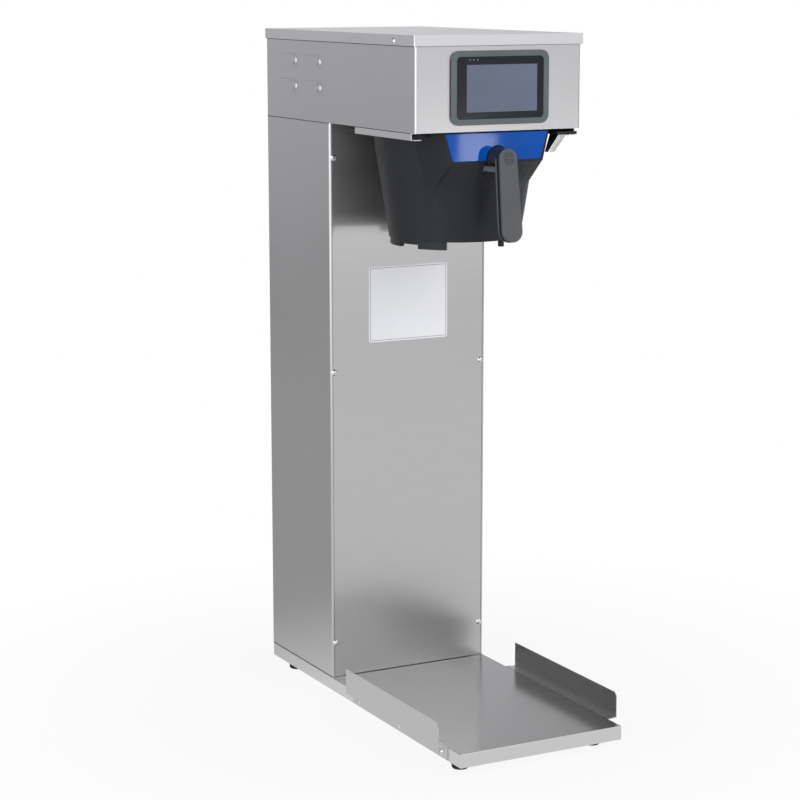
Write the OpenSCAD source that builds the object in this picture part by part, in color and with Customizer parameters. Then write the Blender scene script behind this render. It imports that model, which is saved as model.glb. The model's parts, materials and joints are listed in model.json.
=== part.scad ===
// Tall countertop brewer for iced tea: hood, column and base of folded sheet steel,
// a sliding brew basket, a touch panel, and the tank, valves and wiring inside.

/* [Body] */
// Width of the hood, the column and the base
body_w = 260; // [250:1:275]
// Depth of the base, from its front face to the rear wall
base_d = 605; // [590:1:640]
// Height of the base without its feet
base_h = 20; // [18:1:24]
// Depth of the column, from its front panel to the rear wall
column_d = 211.5; // [206:0.5:225]
// Height of the column, between the base and the hood
column_h = 830; // [800:1:880]
// Depth of the hood, from its front face to the rear wall
hood_d = 474; // [465:1:500]
// Height of the hood with its cover
hood_h = 130.5; // [126:0.5:145]
// Thickness of the folded sheet steel
sheet = 1.2; // [1:0.1:1.5]
// Outside radius of the folded upright corners
bend_r = 3.5; // [2.5:0.1:4.5]

/* [Feet] */
// Height of a foot below the base
foot_h = 15; // [8:0.5:16]
// Diameter of a foot
foot_d = 26; // [20:0.5:30]
// Distance of a foot's centre from the side of the base
foot_side = 23; // [16:0.5:40]
// Distance of the front feet from the front of the base
foot_front = 42; // [16:0.5:60]
// Distance of the rear feet from the rear wall
foot_rear = 38; // [18:0.5:80]

/* [Guides] */
// Length of a dispenser guide
guide_l = 286; // [240:1:300]
// Distance of a guide from the front of the base
guide_set = 35; // [20:1:50]
// How far a guide stands out from the side of the base
guide_out = 15; // [10:0.5:20]
// Height of a guide's upright above the deck
guide_h = 36; // [20:1:60]
// Distance of the end screws from a guide's ends
guide_screw_end = 18; // [10:0.5:30]

/* [Cover] */
// Height of the cover's folded rim
cover_rim = 14.5; // [12:0.5:20]
// Air gap between the cover's rim and the hood
cover_gap = 1.4; // [0.8:0.1:2]
// Distance of the side screws from the hood's front
cover_screw_y = 58.4; // [30:0.1:120]

/* [Screen] */
// Width of the screen's bezel
bezel_w = 153; // [148:1:170]
// Height of the screen's bezel
bezel_h = 100; // [96:1:104]
// How far the bezel stands out from the hood
bezel_out = 3.5; // [2.5:0.1:6]
// Width of the touch glass
glass_w = 136; // [128:1:140]
// Height of the touch glass
glass_h = 84; // [80:1:87]
// Thickness of the touch glass
glass_t = 2; // [1.5:0.1:2.4]
// Height of the screen's centre above the hood's lower edge
screen_up = 59; // [56:0.5:62]

/* [Basket] */
// Radius of the brew basket at its rim
basket_r = 117.2; // [110:0.1:118]
// Radius of the brew basket at its foot
basket_foot_r = 93.5; // [80:0.5:100]
// Height of the brew basket, rim to foot
basket_h = 153; // [140:1:170]
// Wall of the brew basket
basket_wall = 3; // [2:0.1:4]
// Distance of the basket's axis from the hood's front
basket_set = 124; // [121:0.5:140]
// Distance of the basket's flat front from its axis
prow_reach = 118; // [116:0.5:119]
// Radius of the outlet in the basket's floor
outlet_r = 6; // [5:0.25:8]
// Length of the handle's grip
grip_l = 128; // [100:1:140]
// Width of the handle's grip at its top
grip_top_w = 27; // [24:0.5:34]
// Width of the handle's grip at its lower end
grip_low_w = 31; // [26:0.5:40]
// Forward lean of the grip, in degrees
grip_lean = 7.5; // [0:0.1:9]

/* [Tank] */
// Height of the hot water tank
tank_h = 320; // [260:1:340]
// Air between the column's front panel and the tank's rim
tank_air_front = 11.4; // [8:0.1:20]
// Air between the tank's rim and the riser tubes behind it
tank_air_rear = 2.5; // [1:0.1:6]
// Air between the tank's rim and the wire loom beside it
tank_air_side = 2.5; // [1:0.1:12]
// Thickness of the insulation round the tank
wrap_t = 10; // [6:0.5:11]

/* [Fittings] */
// Length of the water inlet outside the rear wall
inlet_reach = 20; // [16:0.5:24]
// Radius of the water inlet's thread
inlet_r = 5.55; // [4.5:0.05:6.5]
// Radius of the hole in the cord gland
gland_r = 4.6; // [3.5:0.1:5.5]
// Outside diameter of the water tubes
tube_d = 8; // [6:0.5:9]
// Travel of a solenoid plunger
plunger_travel = 2.5; // [1.5:0.1:3]
// Travel of the thermostat's reset button
reset_travel = 1.5; // [1:0.1:2]

/* [Hidden] */
$fn = 48;

// Clearances
seat_gap = 0.3;
seam = 0.8;
run_gap = 0.05;
hole_gap = 0.15;
slot_gap = 0.4;
loose_gap = 2;

// Overshoot of a cut, and the overlap that joins two shapes of one solid
cut = 1;
join = 0.5;
sliver = 0.01;

// Reference planes and places
half_w = body_w / 2;
rear_y = (base_d - inlet_reach) / 2;
front_y = rear_y - base_d;
column_y = rear_y - column_d;
hood_y = rear_y - hood_d;
base_z = foot_h;
deck_z = base_z + base_h;
hood_z = deck_z + column_h;
top_z = hood_z + hood_h;
wall_top = top_z - sheet - seat_gap;
inner_w = body_w - 2 * sheet;
inner_rear = rear_y - sheet;
flange = 15;

// Feet
foot_taper = 2.5;
foot_edge = 1.2;
foot_plug_d = 8;
foot_plug_l = 4;
foot_barb = 1.2;

// Screws: truss head with a cross recess
screw_d = 4;
screw_l = 8;
head_d = 9.6;
head_h = 2.4;
recess_l = 4.6;
recess_w = 1;
recess_t = 1.3;

// Guides
guide_y = front_y + guide_set;
guide_screw_z = base_z + 8.5;
guide_screw_y = [
  guide_y + guide_screw_end,
  guide_y + guide_l / 2,
  guide_y + guide_l - guide_screw_end
];
guide_lower = 1;
guide_setback = 3;
guide_clip = 6;
guide_step = guide_out / 2;

// Column panel and its screws
panel_w = body_w - 2 * bend_r - 2 * seam;
panel_screw_side = 2.2;
panel_screw_x = panel_w / 2 - panel_screw_side;
panel_screw_low = 53;
panel_screw_high = 50;
panel_screw_mid = 0.56;
panel_seat = 20;
panel_screw_z = [
  deck_z + panel_screw_low,
  deck_z + column_h * panel_screw_mid,
  hood_z - panel_screw_high
];

// Label plate on the column panel
label_w = 131.5;
label_h = 112.5;
label_t = 0.4;
label_r = 3;
label_x = -0.8;
label_up = 561.25;
label_z = deck_z + label_up;

// Louvres in the hood's sides
louvre_l = 64;
louvre_h = 20;
louvre_out = 2.2;
louvre_slope = 8;
louvre_skin = sheet * 0.75;
louvre_reach = 105;
louvre_pitch_y = 81;
louvre_up = 38;
louvre_pitch_z = 37.5;
louvre_y = [rear_y - louvre_reach, rear_y - louvre_reach - louvre_pitch_y];
louvre_z = [hood_z + louvre_up, hood_z + louvre_up + louvre_pitch_z];

// Rear panel of the hood
rear_screw_x = half_w - sheet - 7;
rear_screw_z = [hood_z + 14, wall_top - cover_rim - 12];
vent_w = 30;
vent_h = 4;
vent_pitch_x = 44;
vent_pitch_z = 12;
vent_columns = 5;
vent_rows = 4;
vent_up = 34;

// Cover screws
cover_w = body_w + 2 * (cover_gap + sheet);
cover_front = hood_y - cover_gap - seat_gap;
cover_rear = rear_y + cover_gap + seat_gap;
cover_screw_z = top_z - cover_rim * 0.6;
cover_rear_x = 90;
cover_side_y = hood_y + cover_screw_y;

// Screen
bezel_r = 12;
glass_r = 6;
glass_drop = 0.8;
glass_gap = 0.3;
tub_wall = 2.2;
tub_deep = 14;
tub_w = glass_w + 2 * (glass_gap + tub_wall);
tub_h = glass_h + 2 * (glass_gap + tub_wall);
screen_z = hood_z + screen_up;
lcd_w = 124;
lcd_h = 76;
lcd_t = 5.5;
glass_y = hood_y - bezel_out + glass_drop;
lcd_y = glass_y + glass_t;
lcd_back = [104, 1, 40];
boss_r = 3.5;
boss_l = 6;
boss_in = [2, 4];
board_y = hood_y + tub_deep + boss_l;
board_t = 1.6;
board_w = tub_w + 10;
board_h = tub_h + 8;
socket_size = [16, 9, 8];
socket_pitch = 22;
socket_edge = [10, 6];
capacitor_d = 10;
capacitor_h = 13;
capacitor_pitch = 30;
capacitor_up = 16;
chip_size = [24, 3, 24];
chip_at = [-20, -18];
memory_size = [18, 4, 14];
memory_at = [30, -18];

// Basket rails, under the hood's side flanges
rail_drop = 10;
rail_side = 0.5;
rail_front = hood_y + 13;
rail_l = 168;
rail_tongue = 5;
rail_screw_end = 16;
rail_web = half_w - rail_side;
rail_z = hood_z - rail_drop;
rail_screw_y = [rail_front + rail_screw_end, rail_front + rail_l - rail_screw_end];
rail_screw_x = rail_web - 8;

// Brew basket
basket_y = hood_y + basket_set;
rim_gap = 2;
rim_z = hood_z - rim_gap;
basket_z = rim_z - basket_h;
basket_taper = (basket_r - basket_foot_r) / basket_h;
lip_z = rail_z + sheet + seat_gap;
lip_t = 4;
lip_x = rail_web - sheet - 0.8;
lip_front = basket_y - 91.5;
lip_rear = basket_y + 80;
rail_edge = basket_foot_r + basket_taper * (rail_z + sheet - basket_z) + 0.45;
prow_y = basket_y - prow_reach;
prow_top_w = 83;
prow_mid_w = 73.5;
prow_back_top = [101, -62];
prow_back_mid = [91.5, -64];
prow_mid_z = rim_z - 41;
prow_low_z = rim_z - 78.5;
prow_root_from = -140;
prow_edge_from = -135;
prow_edge_to = -45;
prow_steps = 12;
prow_sink = 0.3;
prow_low_r = basket_foot_r + basket_taper * (prow_low_z - basket_z);
prow_wall = 4.5;
slice = 0.4;
floor_t = 3;
floor_z = basket_z + floor_t;
spout_wall = 3;
spout_drop = 6;

// Insert on the basket's front
insert_top_w = 80.5;
insert_low_w = 70.7;
insert_top_z = rim_z - 0.3;
insert_low_z = rim_z - 38.5;
insert_deep = 2.5;
insert_proud = 0.5;
insert_gap = 0.25;
insert_r = 5;
arch_r = 16.4;
arch_z = rim_z - 34.5;

// Handle: a neck under the arch, a fan-shaped foot below it, and the grip
neck_r = 15.6;
neck_tip_r = 13.2;
neck_in = 6;
neck_foot_w = [19.7, 13];
neck_foot_z = [rim_z - 52.7, rim_z - 45.5];
grip_top_z = rim_z - 20;
grip_top_y = basket_y - 149;
grip_skin = 6;
grip_slot = 4.5;
grip_back = 15;
grip_tip = 12;
grip_slim = 0.75;
grip_groove = 2;
grip_clear = 5;
mark_r = 9;
mark_deep = 0.8;
mark_bar = 1.6;
handle_screw_x = 8;
handle_screw_z = arch_z + 2;
handle_screw_l = 14;

// Basket feet: start angle, sweep, depth and inset of each arc
skirt_r = 91.5;
skirt_wall = 6;
skirt_arcs = [
  [150, 35, 10.2, 0], [184, 24, 5.5, 0.6], [207, 27, 11.2, 0],
  [286, 4, 9, 0], [-20, 50, 9, 0], [76, 28, 9, 0]
];

// Strap under the right lip
key_y = basket_y - prow_reach - 2;
key_top = [prow_top_w + 14.4, prow_top_w + 27.4];
key_low = [prow_top_w - 3, prow_top_w + 8];
key_drop = 23.5;
key_deep = 23;
key_t = 1.5;
key_side = 2;

// Filter liner
liner_ribs = 16;
liner_bar = 2;
liner_h = 96;
liner_top_r = basket_foot_r + 1.5;
liner_low_r = basket_foot_r - 12;
liner_rings = 4;

// Spray head
spray_r = 42;
spray_t = 3;
spray_z = hood_z + sheet;
spray_edge = 3;
spray_hole_r = 1.2;
spray_pitch = 12;
spray_rings = 3;
stem_r = 9;
stem_h = 14;
nut_r = 14;
nut_h = 4;
nut_gap = 0.1;
elbow_wall = 1.2;

// Tank
tank_t = 1.2;
tank_rim = 11;
coil_r = 15;
inlet_valve_air = 3;
riser_y = inner_rear - inlet_valve_air - coil_r;
tank_front = column_y + 2 * sheet + tank_air_front + tank_rim;
tank_rear = riser_y - tube_d / 2 - tank_air_rear - tank_rim;
tank_d = tank_rear - tank_front;
tank_y = (tank_front + tank_rear) / 2;
loom_r = 4.5;
loom_air = 2.5;
loom_x = half_w - flange - loom_r - loom_air;
tank_w = 2 * (loom_x - loom_r - tank_air_side - tank_rim);
tank_top = hood_z + 20;
tank_z = tank_top - tank_h;
gasket_t = 3;
lid_t = 2;
lid_z = tank_top + gasket_t + lid_t;
rim_step = 5;
bolt_d = 5;
bolt_wide = 9.2;
bolt_in = 5.5;
bolt_x = [-1, -0.35, 0.35, 1];
bolt_end = 4.6;
bolt_head = 3.5;
bolt_nut = 4;
shelf_t = 2;

// Places on the tank's lid, and what passes through it
heater_at = [0, tank_y - 10];
probe_at = [-72, tank_y + 40];
limit_at = [60, tank_y + 42];
fill_at = [10, tank_y + 45];
drain_y = tank_y + 40;
rod_gap = 22;
rod_d = 8;
rod_end = 14;
rod_nut = [17, 6];
rod_up = 30;
probe_d = 5;
probe_l = 150;
probe_in = 130;
probe_nut = [14, 7];
port_d = 6;
fill_up = 22;
fill_in = 12;

// High-limit thermostat and its button
limit_d = 27;
limit_h = 10;
limit_tab = [34, 6, 2];
button_r = 2.5;
button_l = 6;
button_out = 3;

// Solenoid valves
valve_w = 24;
valve_h = 20;
port_r = 5;
port_l = 7;
coil_h = 34;
coil_side = [33, 16, 36];
cap_r = 5;
cap_h = 5;
core_r = 5;
core_l = 24;
valve_x = 45;
dilution_y = basket_y + 20;
valve_y = tank_y - 38;
port_z = lid_z + valve_h / 2;
inlet_z = deck_z + 80;
inlet_x = -70;
inlet_hex = [5, 5];
inlet_neck = 2;
manifold = [16, 20, 20];
inlet_valve_x = inlet_x + manifold.x / 2 + port_l + valve_w / 2;

// Electrical parts
plate_y = column_y + 60;
plate_z = deck_z + 150;
plate_h = 330;
supply_size = [86, 38, 120];
supply_at = [-92, 170];
supply_slots = 8;
supply_slot = [4, 2, 90];
supply_slot_at = [10, 15];
supply_slot_pitch = 9;
relay_size = [70, 34, 60];
relay_at = [10, 200];
relay_fins = 7;
relay_fin = [5, 12];
relay_fin_side = 4;
relay_fin_pitch = 9.5;
block_size = [104, 22, 26];
block_up = 60;
block_ways = 8;
block_way = [9.6, 8, 14];
block_way_side = 3;
block_way_up = 6;
block_way_pitch = 12.6;
rocker_w = 12;
rocker_r = 9;
rocker_lift = 8.5;
rocker_face = 1.6;
rocker_tilt = 10;
rocker_pin = 1.5;
rocker_y = rear_y - 4;
switch_out = 2;
switch_x = 70;
switch_z = deck_z + 150;
switch_w = 18;
switch_tall = 28;
switch_deep = 22;
gland_x = 70;
gland_z = deck_z + 80;
gland_wall = 2.5;
gland_nut = [6, 5];
gland_dome = 10;
gland_in = 12;
drain_z = deck_z + 45;
drain_out = 2;
drain_collar = [7, 8];
drain_cap = [3, 5];
loom_end_x = 25;
loom_z = top_z - 52;
loom_y = plate_y - 20;
loom_drop = 24;

// A rectangle with four rounded corners
module rounded(w, h, r) {
  translate([-w / 2 + r, -h / 2]) square([w - 2 * r, h]);
  translate([-w / 2, -h / 2 + r]) square([w, h - 2 * r]);
  for (x = [-1, 1], y = [-1, 1]) {
    translate([x * (w / 2 - r), y * (h / 2 - r)]) circle(r = r);
  }
}

// An outline with its two front corners rounded, from y0 at the front to y1
module bent(w, y0, y1, r) {
  translate([-w / 2, y0 + r]) square([w, y1 - y0 - r]);
  translate([-w / 2 + r, y0]) square([w - 2 * r, r + sliver]);
  for (x = [-1, 1]) translate([x * (w / 2 - r), y0 + r]) circle(r = r);
}

// Children drawn in x and z, made solid from y0 back to y1
module along_y(y0, y1) {
  translate([0, y1, 0]) rotate([90, 0, 0]) linear_extrude(y1 - y0) children();
}

// Children drawn in y and z, made solid from x0 to x1
module along_x(x0, x1) {
  translate([x0, 0, 0]) rotate([90, 0, 90]) linear_extrude(x1 - x0) children();
}

// A block between two corners
module block(a, b) {
  translate(a) cube(b - a);
}

// A screw whose head rises along +z and whose shank goes down
module screw(length = screw_l, d = screw_d, wide = head_d, high = head_h) {
  dome = (wide * wide / 4 + high * high) / (2 * high);
  difference() {
    union() {
      intersection() {
        translate([0, 0, high - dome]) sphere(r = dome);
        cylinder(d = wide, h = high);
      }
      translate([0, 0, -length]) cylinder(d = d, h = length + high / 2);
    }
    for (turn = [0, 90]) rotate([0, 0, turn]) {
      translate([-recess_l / 2, -recess_w / 2, high - recess_t]) cube([recess_l, recess_w, recess_t + cut]);
    }
  }
}

// A hole for a screw, drilled down along -z
module screw_hole(d = screw_d, length = screw_l, side = hole_gap) {
  translate([0, 0, -length]) cylinder(d = d + 2 * side, h = length + cut);
}

// Places children facing out of the left (-1) or right (1) side
module on_side(side, x, y, z) {
  translate([side * x, y, z]) rotate([0, side * 90, 0]) children();
}

// Places children facing out of the front
module on_front(x, y, z) {
  translate([x, y, z]) rotate([90, 0, 0]) children();
}

// Places children facing out of the rear
module on_rear(x, y, z) {
  translate([x, y, z]) rotate([-90, 0, 0]) children();
}

// A straight run of tube from a to b, along one axis
module run(a, b, r) {
  step = b - a;
  length = norm(step);
  turn = step.x != 0 ? [0, 90 * sign(step.x), 0]
    : step.y != 0 ? [-90 * sign(step.y), 0, 0]
    : step.z < 0 ? [180, 0, 0] : [0, 0, 0];
  translate(a) rotate(turn) cylinder(r = r, h = length);
}

// A tube through points joined along the axes, with an elbow body at each turn
module tube(points, d) {
  for (i = [0 : len(points) - 2]) run(points[i], points[i + 1], d / 2);
  for (i = [1 : len(points) - 2]) translate(points[i]) sphere(r = d / 2 + elbow_wall);
}

// The base: an upside-down pan of folded steel
module base_tray() {
  color("silver") difference() {
    block([-half_w, front_y, base_z], [half_w, rear_y, deck_z]);
    block([-half_w + sheet, front_y + sheet, base_z - cut], [half_w - sheet, inner_rear, deck_z - sheet]);
    guide_screw_holes();
  }
}

module guide_screw_holes() {
  for (side = [-1, 1], y = guide_screw_y) {
    on_side(side, half_w + sheet, y, guide_screw_z) screw_hole(length = screw_l + loose_gap);
  }
}

function foot_places() = [
  for (x = [-half_w + foot_side, half_w - foot_side], y = [front_y + foot_front, rear_y - foot_rear]) [x, y]
];

// The plate that closes the base from below and carries the feet
module bottom_plate() {
  w = half_w - sheet - seat_gap;
  d = sheet + seat_gap;
  color("gainsboro") difference() {
    union() {
      block([-w, front_y + d, base_z], [w, rear_y - d, base_z + sheet]);
      for (side = [-1, 1]) {
        translate([side * (w - sheet / 2) - sheet / 2, front_y + d, base_z])
          cube([sheet, base_d - 2 * d, base_h - 2 * sheet - loose_gap]);
      }
    }
    guide_screw_holes();
    for (p = foot_places()) {
      translate([p.x, p.y, base_z - cut]) cylinder(d = foot_plug_d + 2 * hole_gap, h = sheet + 2 * cut);
    }
  }
}

// Four rubber feet, pushed into the bottom plate
module feet() {
  r = foot_d / 2;
  plug_r = foot_plug_d / 2;
  plug_z = foot_h + sheet + seat_gap;
  color("black") for (p = foot_places()) translate([p.x, p.y, 0]) rotate_extrude() polygon([
    [0, 0], [r - foot_taper, 0], [r - foot_taper / 2, foot_edge], [r, foot_h - foot_edge], [r, foot_h],
    [plug_r, foot_h], [plug_r, plug_z], [plug_r + foot_barb, plug_z],
    [plug_r - foot_barb, plug_z + foot_plug_l], [0, plug_z + foot_plug_l]
  ]);
}

// A guide of folded steel beside the deck, left (-1) or right (1)
module guide(side) {
  step_z = deck_z - sheet;
  out = half_w + guide_out;
  mirror([side < 0 ? 1 : 0, 0, 0]) difference() {
    union() {
      along_y(guide_y, guide_y + guide_l) polygon([
        [half_w, base_z + guide_lower], [half_w + sheet, base_z + guide_lower],
        [half_w + sheet, step_z], [half_w + guide_step, step_z],
        [half_w + guide_step, deck_z], [half_w, deck_z]
      ]);
      along_y(guide_y + guide_setback / 3, guide_y + guide_l - guide_setback) polygon([
        [half_w + guide_step - join, step_z], [out, step_z], [out, deck_z + guide_h],
        [out - sheet, deck_z + guide_h], [out - sheet, deck_z], [half_w + guide_step - join, deck_z]
      ]);
    }
    for (y = guide_screw_y) on_side(1, half_w + sheet, y, guide_screw_z) screw_hole();
    along_x(half_w, out + cut) polygon([
      [guide_y - cut, deck_z + guide_h + cut], [guide_y + guide_clip, deck_z + guide_h + cut],
      [guide_y + guide_clip, deck_z + guide_h], [guide_y, deck_z + guide_h - guide_clip],
      [guide_y - cut, deck_z + guide_h - guide_clip]
    ]);
  }
}

module guide_left() { color("silver") guide(-1); }
module guide_right() { color("silver") guide(1); }

module guide_screws() {
  color("lightgray") for (side = [-1, 1], y = guide_screw_y) {
    on_side(side, half_w + sheet, y, guide_screw_z) screw();
  }
}

// The column: sides and rear wall folded from one sheet, with flanges for the front panel
module column_shell() {
  color("silver") difference() {
    union() {
      translate([0, 0, deck_z]) linear_extrude(column_h) difference() {
        bent(body_w, column_y, rear_y, bend_r);
        bent(inner_w, column_y + sheet, inner_rear, bend_r - sheet);
        translate([-panel_w / 2 - seam, column_y - cut]) square([panel_w + 2 * seam, cut + 2 * sheet]);
      }
      for (side = [-1, 1]) {
        x = side < 0 ? -half_w + sheet / 2 : half_w - sheet / 2 - panel_seat;
        translate([x, column_y + sheet, deck_z]) cube([panel_seat, sheet, column_h]);
        floor_x = side < 0 ? -half_w + sheet / 2 : half_w - sheet / 2 - flange;
        translate([floor_x, column_y + sheet, deck_z]) cube([flange, column_d - 1.5 * sheet, sheet]);
      }
    }
    panel_screw_holes();
    rear_wall_holes();
  }
}

module panel_screw_holes() {
  for (side = [-1, 1], z = panel_screw_z) on_front(side * panel_screw_x, column_y, z) screw_hole();
}

module rear_wall_holes() {
  on_rear(inlet_x, rear_y, inlet_z) screw_hole(d = 2 * (inlet_r + inlet_neck), length = 2 * sheet);
  on_rear(gland_x, rear_y, gland_z) screw_hole(d = 2 * (gland_r + gland_wall), length = 2 * sheet);
  on_rear(0, rear_y, drain_z) screw_hole(d = tube_d, length = 2 * sheet);
  w = switch_w / 2 + hole_gap;
  h = switch_tall / 2 + hole_gap;
  block([switch_x - w, rear_y - 2 * sheet, switch_z - h], [switch_x + w, rear_y + cut, switch_z + h]);
}

// The column's removable front panel
module column_panel() {
  color("silver") difference() {
    block([-panel_w / 2, column_y, deck_z + seam], [panel_w / 2, column_y + sheet, hood_z - seam]);
    panel_screw_holes();
  }
}

// The screws of the column's front panel and of the hood's rear panel
module panel_screws() {
  color("lightgray") for (side = [-1, 1]) {
    for (z = panel_screw_z) on_front(side * panel_screw_x, column_y, z) screw();
    for (z = rear_screw_z) on_rear(side * rear_screw_x, rear_y, z) screw();
  }
}

// A plain plate where the column carries its notice
module label_plate() {
  color("white") on_front(label_x, column_y, label_z) linear_extrude(label_t)
    rounded(label_w, label_h, label_r);
}

// One louvre pressed out of the hood's right side, open at its rear end
module louvre(y, z, skin) {
  in = half_w - sheet / 2;
  out = half_w + louvre_out - skin;
  end = y + louvre_l + (skin > 0 ? cut : 0);
  translate([0, 0, z + skin]) linear_extrude(louvre_h - 2 * skin) polygon([
    [in, y + skin], [half_w, y + skin], [out, y + louvre_slope], [out, end], [in, end]
  ]);
}

module each_louvre(skin) {
  for (side = [0, 1], y = louvre_y, z = louvre_z) mirror([side, 0, 0]) louvre(y, z, skin);
}

// The hood: front and sides folded from one sheet
module hood_shell() {
  skin = louvre_skin;
  color("silver") difference() {
    union() {
      translate([0, 0, hood_z]) linear_extrude(wall_top - hood_z) difference() {
        bent(body_w, hood_y, rear_y, bend_r);
        bent(inner_w, hood_y + sheet, rear_y + cut, bend_r - sheet);
      }
      translate([0, 0, hood_z]) linear_extrude(sheet) difference() {
        bent(body_w, hood_y, rear_y - 2 * sheet, bend_r);
        translate([-half_w + flange, hood_y + flange]) square([body_w - 2 * flange, hood_d]);
      }
      for (side = [-1, 1]) {
        x = side < 0 ? -half_w + sheet / 2 : half_w - sheet / 2 - flange;
        translate([x, rear_y - 2 * sheet, hood_z]) cube([flange, sheet, wall_top - hood_z]);
      }
      each_louvre(0);
    }
    each_louvre(skin);
    for (side = [0, 1], y = louvre_y, z = louvre_z) mirror([side, 0, 0]) {
      block([half_w - 2 * sheet, y + louvre_slope, z + skin],
        [half_w, y + louvre_l, z + louvre_h - skin]);
    }
    on_front(0, hood_y + 2 * sheet, screen_z) linear_extrude(3 * sheet)
      rounded(tub_w + 2 * hole_gap, tub_h + 2 * hole_gap, glass_r + tub_wall);
    cover_slots();
    rail_screw_holes();
    rear_screw_holes();
  }
}

// Slots open to the top, so the cover lifts off with its screws in it
module cover_slots() {
  w = screw_d / 2 + slot_gap;
  block([-half_w - cut, cover_side_y - w, cover_screw_z - w], [half_w + cut, cover_side_y + w, top_z]);
}

module rear_slots() {
  w = screw_d / 2 + slot_gap;
  for (x = [-cover_rear_x, cover_rear_x]) {
    block([x - w, rear_y - 3 * sheet, cover_screw_z - w], [x + w, rear_y + cut, top_z]);
  }
}

module rail_screw_holes() {
  for (side = [-1, 1], y = rail_screw_y) {
    translate([side * rail_screw_x, y, hood_z + 2 * sheet]) screw_hole();
  }
}

module rear_screw_holes() {
  for (side = [-1, 1], z = rear_screw_z) on_rear(side * rear_screw_x, rear_y, z) screw_hole();
}

// The plate under the hood's works, over the basket
module hood_floor() {
  w = half_w - sheet - seat_gap;
  color("dimgray") difference() {
    translate([0, 0, hood_z + sheet]) linear_extrude(sheet)
      bent(2 * w, hood_y + sheet + seat_gap, column_y - seat_gap, bend_r);
    rail_screw_holes();
    translate([0, basket_y, hood_z]) cylinder(r = stem_r + hole_gap, h = 4 * sheet);
    translate([-valve_x, dilution_y, hood_z]) cylinder(d = tube_d + 2 * hole_gap, h = 4 * sheet);
  }
}

// The hood's rear wall, with rows of vents
module rear_panel() {
  w = half_w - sheet - seat_gap;
  color("silver") difference() {
    block([-w, inner_rear, hood_z + seam], [w, rear_y, wall_top]);
    for (i = [0 : vent_columns - 1], k = [0 : vent_rows - 1]) {
      x = (i - (vent_columns - 1) / 2) * vent_pitch_x - vent_w / 2;
      translate([x, inner_rear - cut, hood_z + vent_up + k * vent_pitch_z])
        cube([vent_w, sheet + 2 * cut, vent_h]);
    }
    rear_slots();
    rear_screw_holes();
  }
}

// The cover: a shallow pan over the hood's walls
module top_cover() {
  w = cover_w / 2;
  rim_low = top_z - cover_rim;
  color("silver") difference() {
    block([-w, cover_front, rim_low], [w, cover_rear, top_z]);
    block([-w + sheet, cover_front + sheet, rim_low - cut], [w - sheet, cover_rear - sheet, top_z - sheet]);
    for (side = [-1, 1]) {
      on_side(side, w, cover_side_y, cover_screw_z) screw_hole();
      on_rear(side * cover_rear_x, cover_rear, cover_screw_z) screw_hole();
    }
  }
}

module cover_screws() {
  color("lightgray") for (side = [-1, 1]) {
    on_side(side, cover_w / 2, cover_side_y, cover_screw_z) screw();
    on_rear(side * cover_rear_x, cover_rear, cover_screw_z) screw();
  }
}

// The screen's bezel, with the tub that passes through the hood's front
module screen_bezel() {
  color("slategray") difference() {
    union() {
      on_front(0, hood_y, screen_z) linear_extrude(bezel_out) rounded(bezel_w, bezel_h, bezel_r);
      on_front(0, hood_y + tub_deep, screen_z) linear_extrude(tub_deep + join)
        rounded(tub_w, tub_h, glass_r + tub_wall);
      for (x = [-1, 1], z = [-1, 1]) {
        on_front(x * (tub_w / 2 - boss_in.x), board_y, screen_z + z * (tub_h / 2 - boss_in.y))
          cylinder(r = boss_r, h = boss_l + tub_deep / 3);
      }
    }
    on_front(0, hood_y + tub_deep + cut, screen_z) linear_extrude(tub_deep + bezel_out + 2 * cut)
      rounded(glass_w + 2 * glass_gap, glass_h + 2 * glass_gap, glass_r);
  }
}

// The black touch glass
module screen_glass() {
  color("black") on_front(0, lcd_y, screen_z) linear_extrude(glass_t) rounded(glass_w, glass_h, glass_r);
}

// The display behind the glass
module display_panel() {
  color("darkslategray") difference() {
    block([-lcd_w / 2, lcd_y, screen_z - lcd_h / 2], [lcd_w / 2, lcd_y + lcd_t, screen_z + lcd_h / 2]);
    translate([-lcd_back.x / 2, lcd_y + lcd_t - lcd_back.y, screen_z - lcd_back.z / 2])
      cube([lcd_back.x, lcd_back.y + cut, lcd_back.z]);
  }
}

// The control board on the bezel's bosses
module control_board() {
  y = board_y + board_t;
  left = -board_w / 2;
  low = screen_z - board_h / 2;
  color("darkgreen") {
    block([left, board_y, low], [-left, y, screen_z + board_h / 2]);
    for (i = [0 : 5]) {
      translate([left + socket_edge.x + i * socket_pitch, y, low + socket_edge.y]) cube(socket_size);
    }
    for (i = [0 : 3]) {
      on_rear((i - 1.5) * capacitor_pitch, y, screen_z + capacitor_up)
        cylinder(d = capacitor_d, h = capacitor_h);
    }
    translate([chip_at.x, y, screen_z + chip_at.y]) cube(chip_size);
    translate([memory_at.x, y, screen_z + memory_at.y]) cube(memory_size);
  }
}

// A basket rail: a channel under the hood's side, left (-1) or right (1)
module rail(side) {
  mirror([side < 0 ? 1 : 0, 0, 0]) difference() {
    union() {
      along_y(rail_front, rail_front + rail_l) polygon([
        [rail_web, rail_z], [rail_web, hood_z],
        [rail_web - flange, hood_z], [rail_web - flange, hood_z - sheet],
        [rail_web - sheet, hood_z - sheet], [rail_web - sheet, rail_z + sheet],
        [rail_edge, rail_z + sheet], [rail_edge, rail_z]
      ]);
      block([rail_edge, rail_front - rail_tongue, rail_z],
        [rail_web - loose_gap, rail_front + join, rail_z + sheet]);
    }
    for (y = rail_screw_y) translate([rail_screw_x, y, hood_z + sheet]) screw_hole();
  }
}

module rail_left() { color("silver") rail(-1); }
module rail_right() { color("silver") rail(1); }

module rail_screws() {
  color("lightgray") for (side = [-1, 1], y = rail_screw_y) {
    translate([side * rail_screw_x, y, hood_z + 2 * sheet]) screw(length = 3 * sheet);
  }
}

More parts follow.
